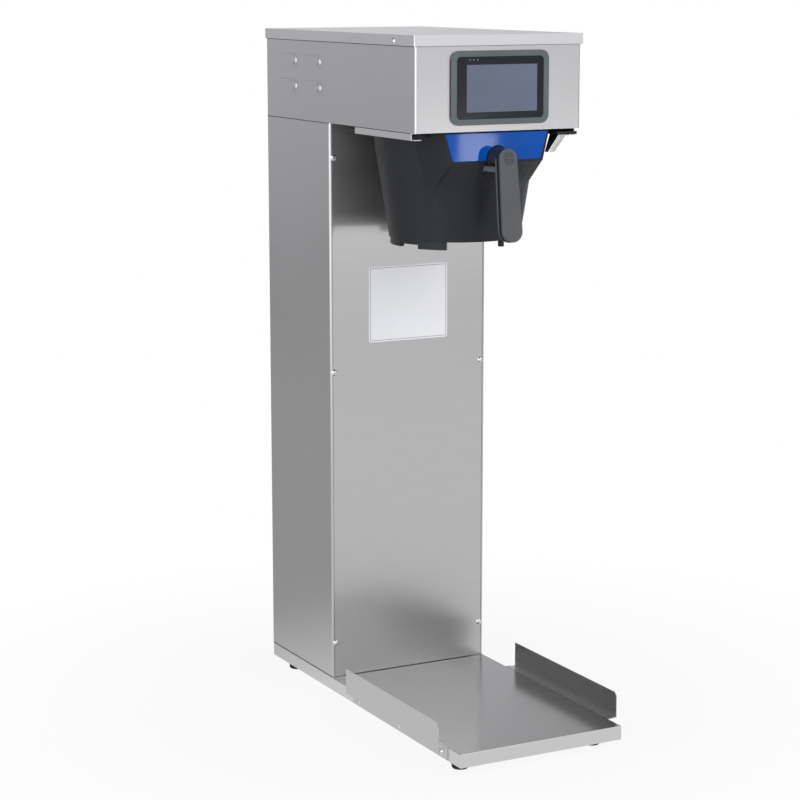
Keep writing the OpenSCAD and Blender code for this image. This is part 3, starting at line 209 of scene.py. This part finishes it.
def brushed(name, colour, roughness, pull):
    """Brushed stainless steel on a mesh with a grain map. pull is how far a reflection is drawn
    out across the brushing."""
    material, tree, shader = principled(name, colour, roughness, 1.0, Anisotropic=pull)
    along = add(tree, "ShaderNodeTangent", direction_type="UV_MAP", uv_map="grain").outputs["Tangent"]
    link(tree, along, shader, "Tangent")
    fine = noise(tree, BRUSH_FINE, 2.0, 0.6, GRAIN, True)
    coarse = noise(tree, BRUSH_COARSE, 3.0, 0.6, GRAIN, True)
    cloud = noise(tree, BRUSH_CLOUDS, 2.0)
    lines = maths(tree, "MULTIPLY", fine, coarse)
    dark, light = scaled(colour, BRUSH_DARK), scaled(colour, BRUSH_LIGHT)
    link(tree, tint(tree, lines, dark, light, 0.12, 0.40), shader, "Base Color")
    streaked = remap(tree, coarse, roughness - BRUSH_STREAK, roughness + BRUSH_STREAK)
    clouded = remap(tree, cloud, -BRUSH_CLOUD, BRUSH_CLOUD)
    both = maths(tree, "ADD", streaked, clouded)
    link(tree, both, shader, "Roughness")
    bump(tree, shader, lines, BRUSH_DEPTH, 0.4)
    return material


def sheet_metal(name, colour, roughness):
    """Plain rolled sheet inside the machine."""
    material, tree, shader = principled(name, colour, roughness, 1.0)
    lines = noise(tree, 300, 3.0, 0.6, (0.03, 0.03, 1.0))
    link(tree, remap(tree, lines, roughness - 0.05, roughness + 0.05), shader, "Roughness")
    link(tree, tint(tree, lines, scaled(colour, 0.93), scaled(colour, 1.05)), shader, "Base Color")
    return material


def polished(name, colour, roughness):
    """Turned or polished metal with faint handling marks."""
    material, tree, shader = principled(name, colour, roughness, 1.0)
    marks = noise(tree, 900, 3.0)
    link(tree, remap(tree, marks, roughness * 0.7, roughness * 1.4), shader, "Roughness")
    link(tree, tint(tree, marks, scaled(colour, 0.9), scaled(colour, 1.08)), shader, "Base Color")
    return material


def moulded(name, colour, roughness, grain=1800, depth=0.00003, gloss=0.5, spread=0.12):
    """Moulded plastic or rubber with a fine spark-eroded texture."""
    material, tree, shader = principled(name, colour, roughness, Specular_IOR_Level=gloss)
    fine = noise(tree, grain, 2.0)
    cloud = noise(tree, 14, 3.0)
    smooth, rough = roughness * (1 - spread), roughness * (1 + spread)
    dark, light = scaled(colour, 1 - spread), scaled(colour, 1 + spread)
    link(tree, remap(tree, cloud, smooth, rough), shader, "Roughness")
    link(tree, tint(tree, cloud, dark, light), shader, "Base Color")
    bump(tree, shader, fine, depth, 0.7)
    return material


def coated(name, colour, roughness, coat=0.6, gloss=0.5):
    """Gloss plastic or glass over a plain colour."""
    material, tree, shader = principled(
        name, colour, roughness, Coat_Weight=coat, Coat_Roughness=0.04, Specular_IOR_Level=gloss)
    cloud = noise(tree, 9, 2.0)
    link(tree, remap(tree, cloud, roughness * 0.8, roughness * 1.3), shader, "Roughness")
    link(tree, tint(tree, cloud, scaled(colour, 0.93), scaled(colour, 1.07)), shader, "Base Color")
    return material


# The casing is one steel. Its trim, on the cover, rails and base sides, is drawn lighter as
# painted light, and its deck, the key strap and the inside of the right guide darker as painted
# shade, to match what they mirror in the photograph
STEEL = (0.58, 0.575, 0.58)
MATERIALS = {
    "steel": brushed("steel", STEEL, 0.31, 0.62),
    "steel_trim": brushed("steel_trim", (0.69, 0.685, 0.695), 0.36, 0.5),
    "steel_deck": brushed("steel_deck", (0.43, 0.423, 0.427), 0.17, 0.30),
    "steel_shade": brushed("steel_shade", (0.22, 0.218, 0.214), 0.20, 0.30),
    "steel_inner": sheet_metal("steel_inner", (0.56, 0.57, 0.58), 0.42),
    "steel_tank": sheet_metal("steel_tank", (0.60, 0.61, 0.63), 0.28),
    "supply": sheet_metal("supply", (0.50, 0.51, 0.52), 0.45),
    "dark_sheet": moulded("dark_sheet", (0.020, 0.020, 0.022), 0.6, gloss=0.2),
    # Painted shade for the casing's seams: a dark one, and a softer grey one for the line under the
    # cover's front rim
    "seam_dark": moulded("seam_dark", (0.055, 0.054, 0.056), 0.8, gloss=0.1),
    "seam_soft": moulded("seam_soft", (0.36, 0.358, 0.362), 0.7, gloss=0.2),
    "screw_steel": polished("screw_steel", (0.70, 0.70, 0.71), 0.16),
    "plunger": polished("plunger", (0.50, 0.50, 0.51), 0.25),
    "liner": polished("liner", (0.62, 0.62, 0.63), 0.22),
    "brass": polished("brass", (0.62, 0.44, 0.17), 0.28),
    "heater": polished("heater", (0.38, 0.30, 0.26), 0.45),
    "heat_sink": polished("heat_sink", (0.05, 0.05, 0.052), 0.4),
    "rubber_black": moulded("rubber_black", (0.014, 0.014, 0.015), 0.72, 2400, 0.00006, 0.3),
    "label_white": moulded("label_white", (0.90, 0.90, 0.93), 0.5, 2600, 0.00001, 0.4, 0.015),
    "label_line": moulded("label_line", (0.06, 0.06, 0.065), 0.5, 2600, 0.00001, 0.3, 0.05),
    "bezel_grey": moulded("bezel_grey", (0.112, 0.132, 0.141), 0.42, 2200, 0.00003, 0.3),
    "glass_black": coated("glass_black", (0.008, 0.011, 0.015), 0.20, 0.0, 0.2),
    "display": coated("display", (0.138, 0.158, 0.222), 0.45, 0.0, 0.2),
    "led_white": coated("led_white", (0.14, 0.16, 0.17), 0.3, 0.3),
    "board_green": moulded("board_green", (0.012, 0.11, 0.04), 0.35, 900, 0.00002),
    "basket_black": moulded("basket_black", (0.016, 0.017, 0.019), 0.40, 1500, 0.00003, 0.25),
    "insert_blue": coated("insert_blue", (0.0008, 0.074, 0.39), 0.06, 0.0, 0.25),
    "grip_grey": moulded("grip_grey", (0.088, 0.091, 0.097), 0.50, 1500, 0.00007, 0.4),
    # Painted shade: the mark's sunk ground, and the grip shell's front and neck
    "grip_mark_shade": moulded("grip_mark_shade", (0.064, 0.066, 0.071), 0.50, 1500, 0.00007, 0.4),
    "grip_black": moulded("grip_black", (0.020, 0.021, 0.023), 0.36, 1500, 0.00002),
    "tube": moulded("tube", (0.62, 0.62, 0.58), 0.35, 800, 0.00002),
    "gasket_red": moulded("gasket_red", (0.32, 0.03, 0.015), 0.6, 1200, 0.00004),
    "wrap": moulded("wrap", (0.50, 0.44, 0.27), 0.9, 260, 0.0008, 0.2, 0.3),
    "valve_black": moulded("valve_black", (0.024, 0.024, 0.026), 0.45),
    "ivory": moulded("ivory", (0.62, 0.58, 0.48), 0.4),
    "red": coated("red", (0.42, 0.012, 0.012), 0.3),
    "loom": moulded("loom", (0.016, 0.016, 0.017), 0.6, 900, 0.0002),
    "switch_black": coated("switch_black", (0.014, 0.014, 0.016), 0.3, 0.4),
}


# Pieces

def body_of(node):
    return frame["nodes"][node]["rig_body"]


def piece(name, mesh, node, material):
    """A finished object that rides on the body of a CAD node and stands for it."""
    made = bpy.data.objects.new(name, mesh)
    bpy.context.scene.collection.objects.link(made)
    for one in [material] if isinstance(material, str) else material:
        made.data.materials.append(MATERIALS[one])
    made.modifiers.new("normals", "WEIGHTED_NORMAL").keep_sharp = True
    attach(made, body_of(node))
    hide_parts(node)
    return made


def shade(mesh, angle=38):
    """Smooth shading that stays sharp over edges steeper than the angle, in degrees."""
    mesh.shade_smooth()
    mesh.set_sharp_from_angle(angle=math.radians(angle))


def grain_map(mesh):
    """A box-projected UV map in metres. U runs along the brushing, which is level on walls and
    crosses the machine on level faces."""
    layer = mesh.uv_layers.new(name="grain")
    for face in mesh.polygons:
        n = face.normal
        flat = abs(n.z) > max(abs(n.x), abs(n.y))
        if flat:
            u, v = 0, 1
        else:
            u, v = (1, 2) if abs(n.x) > abs(n.y) else (0, 2)
        for loop in face.loop_indices:
            at = mesh.vertices[mesh.loops[loop].vertex_index].co
            layer.data[loop].uv = (at[u], at[v])


# Points closer than this, in metres, are one. Faces at less than the first angle are merged, and
# edges at more than the second are folds, in degrees
WELD = 2e-6
FLAT_ANGLE = 0.6
FOLD_ANGLE = 32


def solid_from(node):
    """The CAD node's solid as a bmesh with its flat faces merged."""
    form = bmesh.new()
    form.from_mesh(frame["nodes"][node].data)
    bmesh.ops.remove_doubles(form, verts=form.verts, dist=WELD)
    bmesh.ops.dissolve_limit(form, angle_limit=math.radians(FLAT_ANGLE), verts=form.verts,
                             edges=form.edges)
    bmesh.ops.recalc_face_normals(form, faces=form.faces)
    return form


def folds(form):
    """Edges whose faces meet at more than the fold angle."""
    limit = math.radians(FOLD_ANGLE)
    return [e for e in form.edges if len(e.link_faces) == 2 and e.calc_face_angle(0) > limit]


def middle(edge):
    """The middle of an edge."""
    return (edge.verts[0].co + edge.verts[1].co) / 2


def round_edges(form, edges, width, segments):
    """Rounds the edges over a width, where there are any."""
    if edges:
        bmesh.ops.bevel(form, geom=edges, offset=width, offset_type="OFFSET", segments=segments,
                        profile=0.5, affect="EDGES", clamp_overlap=True)


def dressed(name, node, material, edge=0.25 * MM, segments=2, bends=()):
    """A CAD node's shape with softened edges. bends is a list of (test, width, segments)
    for the edges that get a wider radius."""
    form = solid_from(node)
    for test, width, steps in bends:
        round_edges(form, [e for e in folds(form) if test(e)], width, steps)
    if edge:
        round_edges(form, folds(form), edge, segments)
    mesh = bpy.data.meshes.new(name)
    form.to_mesh(mesh)
    form.free()
    shade(mesh)
    grain_map(mesh)
    return piece(name, mesh, node, material)


def refaced(made, material, chosen):
    """Gives the faces whose normal passes the test another material."""
    made.data.materials.append(MATERIALS[material])
    for face in made.data.polygons:
        if chosen(face.normal):
            face.material_index = len(made.data.materials) - 1


def keep(node, material):
    """The CAD node itself, with a finished material."""
    target = frame["nodes"][node]
    target.data.materials.clear()
    target.data.materials.append(MATERIALS[material])


def near(value, target):
    """Whether two coordinates agree to 0.02 mm."""
    return abs(value - target) < 0.02 * MM


# Rounding on the cover's upright corners and top edges, and on the base's bends
COVER_CORNER = 1.6 * MM
COVER_BEND = 0.5 * MM
BASE_BEND = 1.4 * MM


def steel_pieces():
    """The folded sheet-steel casing."""
    low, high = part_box("top_cover")

    def cover_bend(e):
        return near(middle(e).z, high.z)

    def cover_corner(e):
        m = middle(e)
        side = near(m.x, low.x) or near(m.x, high.x)
        return side and (near(m.y, low.y) or near(m.y, high.y))

    # Painted light: the cover gets the lighter copy of the steel
    dressed("cover_pan", "top_cover", "steel_trim",
            bends=[(cover_corner, COVER_CORNER, 4), (cover_bend, COVER_BEND, 3)])

    low_b, high_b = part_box("base_tray")

    def base_bend(e):
        m = middle(e)
        side = near(m.x, low_b.x) or near(m.x, high_b.x)
        end = near(m.y, low_b.y) or near(m.y, high_b.y)
        return (near(m.z, high_b.z) and (side or end)) or (side and end)

    base = dressed("base_pan", "base_tray", "steel", bends=[(base_bend, BASE_BEND, 4)])
    # Painted shade on the base's top faces and painted light on its upright sides, as copies of the one
    # steel
    refaced(base, "steel_deck", lambda n: n.z > 0.9)
    refaced(base, "steel_trim", lambda n: abs(n.z) < 0.1)
    dressed("hood_skin", "hood_shell", "steel")
    dressed("column_skin", "column_shell", "steel")
    dressed("front_panel", "column_panel", "steel")
    dressed("back_panel", "rear_panel", "steel")
    for side in ("left", "right"):
        guide = dressed(f"deck_guide_{side}", f"guide_{side}", "steel")
        # Painted shade: the right guide's inner face gets the darkest copy of the steel
        if side == "right":
            refaced(guide, "steel_shade", lambda n: n.x < -0.9)
        # Painted light: the rails get the lighter copy of the steel
        dressed(f"basket_rail_{side}", f"rail_{side}", "steel_trim")
    # Painted shade: the key strap gets the darker copy of the steel
    dressed("key_strap", "basket_key", "steel_deck")
    dressed("floor_pan", "bottom_plate", "steel_inner")
    keep("hood_floor", "dark_sheet")


# Width of a seam's painted shade line, and how far it stays behind the front of the hood, column and
# rails
SEAM = 1.1 * MM
HOOD_BACK = 3 * MM
COLUMN_BACK = 1.5 * MM
RAIL_BACK = 7 * MM


def ribbon(name, node, material, start, end):
    """A flat line laid on the casing, which hangs down from start to end by a seam's width."""
    start, end, drop = Vector(start), Vector(end), Vector((0, 0, SEAM))
    mesh = bpy.data.meshes.new(name)
    mesh.from_pydata([start, end, end - drop, start - drop], [], [(0, 1, 2, 3)])
    piece(name, mesh, node, material)


def seams():
    """Painted shade: dark strips laid over the gaps between the casing's sheets and under the cover's
    rim, where shade falls, which show as fine lines.
    """
    cover_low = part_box("top_cover")[0]
    hood_low, hood_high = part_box("hood_shell")
    column_low, column_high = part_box("column_shell")
    for side, x in (("left", -1), ("right", 1)):
        wall = x * (column_high.x - column_low.x) / 2 + x * LAYER
        rim = hood_low.y + HOOD_BACK
        ribbon(f"rim_shadow_{side}", "hood_shell", "seam_dark",
               (wall, rim, cover_low.z), (wall, hood_high.y, cover_low.z))
        front = column_low.y + COLUMN_BACK
        ribbon(f"hood_seam_shade_{side}", "column_shell", "seam_dark",
               (wall, front, column_high.z), (wall, column_high.y, column_high.z))
        ribbon(f"base_seam_shade_{side}", "column_shell", "seam_dark",
               (wall, front, column_low.z + SEAM), (wall, column_high.y, column_low.z + SEAM))
        rail_low, rail_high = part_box(f"rail_{side}")
        edge = (rail_low.x if x < 0 else rail_high.x) + x * LAYER
        ribbon(f"rail_seam_shade_{side}", f"rail_{side}", "seam_dark",
               (edge, rail_low.y + RAIL_BACK, rail_high.z), (edge, rail_high.y, rail_high.z))
    half = (hood_high.x - hood_low.x) / 2 - HOOD_BACK
    ribbon("rim_shadow_front", "hood_shell", "seam_soft",
           (-half, hood_low.y - LAYER, cover_low.z), (half, hood_low.y - LAYER, cover_low.z))


# The rounded front ends of the louvres, in mm: half sizes out, along and up the wall, distances
# of their tips from the rear of the column, and heights of their middles over the hood's foot
LOUVRE_END = (2.6, 8.5, 8.5)
LOUVRE_BACK = (105, 186)
LOUVRE_UP = (48, 85.5)


def louvre_ends():
    """The rounded front ends of the pressed louvres on both sides."""
    low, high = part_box("hood_shell")
    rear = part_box("column_shell")[1].y
    form = bmesh.new()
    for side in (-1, 1):
        for back in LOUVRE_BACK:
            for up in LOUVRE_UP:
                at = Vector((side * BODY_HALF, rear - (back - LOUVRE_END[1]) * MM, low.z + up * MM))
                made = bmesh.ops.create_uvsphere(form, u_segments=24, v_segments=16, radius=1.0)
                for vert in made["verts"]:
                    vert.co = at + Vector([c * h * MM for c, h in zip(vert.co, LOUVRE_END)])
    mesh = bpy.data.meshes.new("louvre_ends")
    form.to_mesh(mesh)
    form.free()
    mesh.shade_smooth()
    grain_map(mesh)
    piece("louvre_ends", mesh, "hood_shell", "steel")


def fasteners():
    """Screws and bolts."""
    for name, node in (("guide_fixings", "guide_screws"), ("panel_fixings", "panel_screws"),
                       ("cover_fixings", "cover_screws")):
        dressed(name, node, "screw_steel", 0.12 * MM)
    for node in ("rail_screws", "handle_screws", "tank_bolts"):
        keep(node, "screw_steel")


def plastics():
    """The rubber feet, and the brew basket with its insert and handle."""
    dressed("rubber_feet", "feet", "rubber_black", 0.5 * MM)
    dressed("basket_tub", "brew_basket", "basket_black", 0.7 * MM)
    crowned_insert()
    grip()


# The round mark near the grip's top: its drop below the top, its reach with some room, and the
# depth from which a face is its sunk ground
MARK_DROP = 13.4 * MM
MARK_REACH = 11 * MM
MARK_SUNK = 0.4 * MM
# The rear shell starts this far behind the plate's face and is grey from there. In front of that,
# and on its neck's axis and reach, it stays black as painted shade
SHELL_DEPTH = 10.6 * MM
NECK_DROP = 13 * MM
NECK_REACH = 16.2 * MM


def grip():
    """The handle's two halves. The sunk ground of the mark is painted darker than the plate as shade in
    the recess, and the shell's front and neck stay black as painted shade.
    """
    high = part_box("handle_front")[1]

    def from_mark(at):
        return math.hypot(at.x, at.z - (high.z - MARK_DROP))

    plate = dressed("grip_plate", "handle_front", "grip_grey", 0.15 * MM, 1,
                    [(lambda e: from_mark(middle(e)) > MARK_REACH, 1.3 * MM, 4)])
    front = max((f for f in plate.data.polygons if f.normal.y < -0.9), key=lambda f: f.area)
    face, normal = front.center.copy(), front.normal.copy()
    plate.data.materials.append(MATERIALS["grip_mark_shade"])
    for sunk in plate.data.polygons:
        if sunk.normal.dot(normal) > 0.98 and (sunk.center - face).dot(normal) < -MARK_SUNK:
            sunk.material_index = 1
    shell = dressed("grip_shell", "handle_back", "grip_black", 0.8 * MM, 3)
    shell.data.materials.append(MATERIALS["grip_grey"])
    for rear in shell.data.polygons:
        at = rear.center
        depth = (face - at).dot(normal)
        on_neck = math.hypot(at.x, at.z - high.z + NECK_DROP) < NECK_REACH
        if depth > SHELL_DEPTH and not on_neck:
            rear.material_index = 1


# The bow of the insert's face, the strips that it is cut into, and how far behind its foremost
# point a vertex is still on the face
INSERT_CROWN = 1.2 * MM
INSERT_STRIPS = 24
INSERT_FACE = 0.7 * MM


def crowned_insert():
    """The coloured insert, with its face slightly bowed outwards."""
    made = dressed("colour_insert", "basket_insert", "insert_blue", 0.6 * MM, 3)
    low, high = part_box("basket_insert")
    half = (high.x - low.x) / 2
    form = bmesh.new()
    form.from_mesh(made.data)
    for i in range(1, INSERT_STRIPS):
        at = Vector((low.x + 2 * half * i / INSERT_STRIPS, 0, 0))
        bmesh.ops.bisect_plane(form, geom=form.verts[:] + form.edges[:] + form.faces[:],
                               plane_co=at, plane_no=(1, 0, 0), dist=1e-6)
    for vert in form.verts:
        if vert.co.y < low.y + INSERT_FACE:
            vert.co.y -= INSERT_CROWN * (1 - (vert.co.x / half) ** 2)
    form.to_mesh(made.data)
    form.free()
    shade(made.data)


def outline(width, height, radius, steps=8):
    """Points of a rounded rectangle round the origin, counter-clockwise from the right."""
    points = []
    for quarter, (sx, sz) in enumerate(((1, 1), (-1, 1), (-1, -1), (1, -1))):
        for i in range(steps + 1):
            a = math.radians(90 * (quarter + i / steps))
            points.append((sx * (width / 2 - radius) + radius * math.cos(a),
                           sz * (height / 2 - radius) + radius * math.sin(a)))
    return points


def stack(name, rings, closed=True):
    """A mesh from rings of points with faces between them. closed caps the last ring."""
    mesh = bpy.data.meshes.new(name)
    n = len(rings[0])
    faces = [(r * n + i, r * n + (i + 1) % n, (r + 1) * n + (i + 1) % n, (r + 1) * n + i)
             for r in range(len(rings) - 1) for i in range(n)]
    if closed:
        faces.append([(len(rings) - 1) * n + i for i in range(n)])
    mesh.from_pydata([p for ring in rings for p in ring], [], faces)
    form = bmesh.new()
    form.from_mesh(mesh)
    bmesh.ops.recalc_face_normals(form, faces=form.faces)
    form.to_mesh(mesh)
    form.free()
    return mesh


def on_front(points, centre, y):
    """Flat points set upright round a centre, at a Y."""
    return [(centre.x + x, y, centre.z + z) for x, z in points]


# The bezel's section from its outer foot to the glass, in mm: inset from its outline, and height
# on the hood. Then the radius of its outer corners, and the least radius further in
BEZEL_SECTION = ((0.0, 0.0), (0.0, 1.2), (0.5, 2.2), (1.5, 2.9), (2.6, 3.1), (3.0, 3.5), (6.1, 3.5),
                 (6.6, 3.2), (7.9, 2.8))
BEZEL_RADIUS = 12
BEZEL_INNER_RADIUS = 5
# The lit area in mm: its margins on the glass, left, right, below and above, and its corners
LCD_MARGINS = (15.5, 10.0, 9.4, 10.9)
LCD_RADIUS = 0.4
# The status lamps in mm: places across, drop below the glass's top, radius, and count of sides
LED_X = (-47.6, -42.2, -35.9)
LED_DROP = 4.3
LED_RADIUS = 1.1
LED_SIDES = 16


def screen():
    """The bezel's face, and the display area and lamps that show through the black glass."""
    low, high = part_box("screen_bezel")
    centre = (low + high) / 2
    width, height = high.x - low.x, high.z - low.z
    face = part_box("screen_glass")[0].y
    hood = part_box("hood_shell")[0].y
    dressed("bezel_tub", "screen_bezel", "bezel_grey", 0)
    rings = []
    for inset, proud in BEZEL_SECTION:
        inset *= MM
        radius = max(BEZEL_RADIUS * MM - inset, BEZEL_INNER_RADIUS * MM)
        points = outline(width - 2 * inset, height - 2 * inset, radius)
        rings.append(on_front(points, centre, hood - proud * MM - LAYER))
    mesh = stack("bezel_face", rings, False)
    shade(mesh, 50)
    piece("bezel_face", mesh, "screen_bezel", "bezel_grey")

    low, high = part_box("screen_glass")
    left, right, below, above = (m * MM for m in LCD_MARGINS)
    lit = Vector(((low.x + left + high.x - right) / 2, 0, (low.z + below + high.z - above) / 2))
    points = outline(high.x - low.x - left - right, high.z - low.z - below - above, LCD_RADIUS * MM, 2)
    mesh = stack("display_area", [on_front(points, lit, face - LAYER)])
    piece("display_area", mesh, "display_panel", "display")
    turns = [i * math.pi / (LED_SIDES / 2) for i in range(LED_SIDES)]
    points = [(LED_RADIUS * MM * math.cos(a), LED_RADIUS * MM * math.sin(a)) for a in turns]
    for i, x in enumerate(LED_X):
        at = Vector((x * MM, 0, high.z - LED_DROP * MM))
        piece(f"status_lamp_{i + 1}", stack("lamp", [on_front(points, at, face - LAYER)]),
              "display_panel", "led_white")


# The label's border in mm: its inset and width, the label's corners, and their least radius
LABEL_LINE_INSET = 2.2
LABEL_LINE = 0.55
LABEL_RADIUS = 3
LABEL_LEAST_RADIUS = 0.8


def label():
    """The blank plate on the column, with a thin printed border."""
    low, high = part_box("label_plate")
    centre = (low + high) / 2
    width, height = high.x - low.x, high.z - low.z
    dressed("label_film", "label_plate", "label_white", 0.1 * MM)
    rings = []
    for inset in (LABEL_LINE_INSET, LABEL_LINE_INSET + LABEL_LINE):
        radius = max(LABEL_RADIUS - inset, LABEL_LEAST_RADIUS) * MM
        points = outline(width - 2 * inset * MM, height - 2 * inset * MM, radius)
        rings.append(on_front(points, centre, low.y - LAYER))
    piece("label_border", stack("label_border", rings, False), "label_plate", "label_line")


def inner_parts():
    """Pieces that keep their CAD shape: all that the casing holds, and the screen's glass."""
    finishes = {
        "spray_head": "steel_tank", "brew_tube": "tube", "dilution_tube": "tube",
        "dilution_feed": "tube",
        "tank": "steel_tank", "tank_gasket": "gasket_red", "tank_lid": "steel_tank", "tank_wrap": "wrap",
        "tank_shelf": "steel_inner", "heating_element": "heater", "temperature_probe": "plunger",
        "limit_thermostat": "ivory", "reset_button": "red", "brew_valve": "valve_black",
        "brew_plunger": "plunger", "dilution_valve": "valve_black", "dilution_plunger": "plunger",
        "inlet_valve": "valve_black", "inlet_plunger": "plunger", "inlet_fitting": "brass",
        "fill_tube": "tube", "drain_tube": "tube", "component_panel": "steel_inner",
        "power_supply": "supply", "heater_relay": "heat_sink", "terminal_block": "ivory",
        "wire_harness": "loom", "power_switch": "switch_black", "power_rocker": "switch_black",
        "cord_gland": "valve_black", "filter_liner": "liner", "control_board": "board_green",
        "display_panel": "display", "screen_glass": "glass_black",
    }
    for node, material in finishes.items():
        keep(node, material)


# Stage, lights and camera

def stage():
    """A pale floor that reads as white to the camera, but for the shadow round the object. In
    reflections it glows at the mirrored level."""
    bpy.ops.mesh.primitive_circle_add(
        vertices=96, radius=FLOOR_RADIUS, fill_type="NGON", location=(0, 0, 0))
    floor = bpy.context.object
    floor.name = "floor"
    material = bpy.data.materials.new("floor")
    material.use_nodes = True
    tree = material.node_tree
    tree.nodes.clear()
    place = add(tree, "ShaderNodeTexCoord").outputs["Object"]
    far = add(tree, "ShaderNodeVectorMath", {0: place}, operation="LENGTH").outputs["Value"]
    depth = add(tree, "ShaderNodeSeparateXYZ", {0: place}).outputs["Y"]
    rays = add(tree, "ShaderNodeLightPath").outputs
    edge = remap(tree, far, *FLOOR_WHITE)
    seen = maths(tree, "MULTIPLY", edge, rays["Is Camera Ray"])
    white = maths(tree, "MAXIMUM", seen, rays["Is Glossy Ray"])
    matt = add(tree, "ShaderNodeBsdfDiffuse", {"Color": (*FLOOR_COLOUR, 1)}).outputs[0]
    general = remap(tree, far, *FLOOR_MIRRORED)
    behind = remap(tree, depth, *FLOOR_BEHIND)
    mirrored = maths(tree, "MULTIPLY", general, behind)
    level = maths(tree, "POWER", mirrored, rays["Is Glossy Ray"])
    glow = add(tree, "ShaderNodeEmission", {"Color": (1, 1, 1, 1), "Strength": level}).outputs[0]
    mixed = add(tree, "ShaderNodeMixShader", {0: white, 1: matt, 2: glow}).outputs[0]
    add(tree, "ShaderNodeOutputMaterial", {"Surface": mixed})
    floor.data.materials.append(material)


def world():
    """White to the camera. The soft surround is brighter to the right and to the rear, and
    brighter at the horizon than overhead."""
    made = bpy.data.worlds.new("surround")
    bpy.context.scene.world = made
    made.use_nodes = True
    tree = made.node_tree
    tree.nodes.clear()
    place = add(tree, "ShaderNodeTexCoord").outputs["Generated"]
    way = add(tree, "ShaderNodeSeparateXYZ", {0: place}).outputs
    rising = remap(tree, way["X"], *SKY_RISING)
    falling = remap(tree, way["X"], *SKY_FALLING)
    sideways = maths(tree, "MULTIPLY", rising, falling)
    above = remap(tree, way["Z"], *SKY_ABOVE)
    below = remap(tree, way["Z"], *SKY_BELOW)
    upwards = maths(tree, "MULTIPLY", above, below)
    onwards = remap(tree, way["Y"], *SKY_ONWARDS)
    round_it = maths(tree, "MULTIPLY", sideways, onwards)
    general = maths(tree, "MULTIPLY", round_it, upwards)
    aim = add(tree, "ShaderNodeVectorMath", {0: place, 1: LEFT_GLOW},
              operation="DOT_PRODUCT").outputs["Value"]
    left = remap(tree, aim, *LEFT_GLOW_RANGE)
    level = maths(tree, "ADD", general, left)
    soft = add(tree, "ShaderNodeBackground", {"Color": (*SKY_COLOUR, 1), "Strength": level}).outputs[0]
    white = add(tree, "ShaderNodeBackground", {"Color": (1, 1, 1, 1), "Strength": 1.0}).outputs[0]
    camera = add(tree, "ShaderNodeLightPath").outputs["Is Camera Ray"]
    mixed = add(tree, "ShaderNodeMixShader", {0: camera, 1: soft, 2: white}).outputs[0]
    add(tree, "ShaderNodeOutputWorld", {"Surface": mixed})


def lamp(name, at, towards, size, power):
    """A soft rectangular lamp. size is its width and height in metres."""
    data = bpy.data.lights.new(name, "AREA")
    data.shape = "RECTANGLE"
    data.size, data.size_y = size
    data.energy = power
    made = bpy.data.objects.new(name, data)
    made.location = at
    made.rotation_euler = (Vector(towards) - Vector(at)).to_track_quat("-Z", "Y").to_euler()
    bpy.context.scene.collection.objects.link(made)


def lights():
    """All the lamps."""
    for name, (at, towards, size, power) in LAMPS.items():
        lamp(name, at, towards, size, power)


def camera():
    """The photograph's camera."""
    data = bpy.data.cameras.new("view")
    data.sensor_width = CAMERA_SENSOR
    data.lens = CAMERA_LENS
    data.clip_end = CAMERA_REACH
    made = bpy.data.objects.new("view", data)
    made.location = CAMERA_AT
    made.rotation_mode = "XYZ"
    made.rotation_euler = (
        math.radians(90 + CAMERA_PITCH), math.radians(CAMERA_ROLL), math.radians(-CAMERA_YAW))
    bpy.context.scene.collection.objects.link(made)
    bpy.context.scene.camera = made


bpy.context.scene.view_settings.view_transform = "Standard"
camera()
world()
stage()
lights()
inner_parts()
steel_pieces()
seams()
louvre_ends()
fasteners()
plastics()
screen()
label()
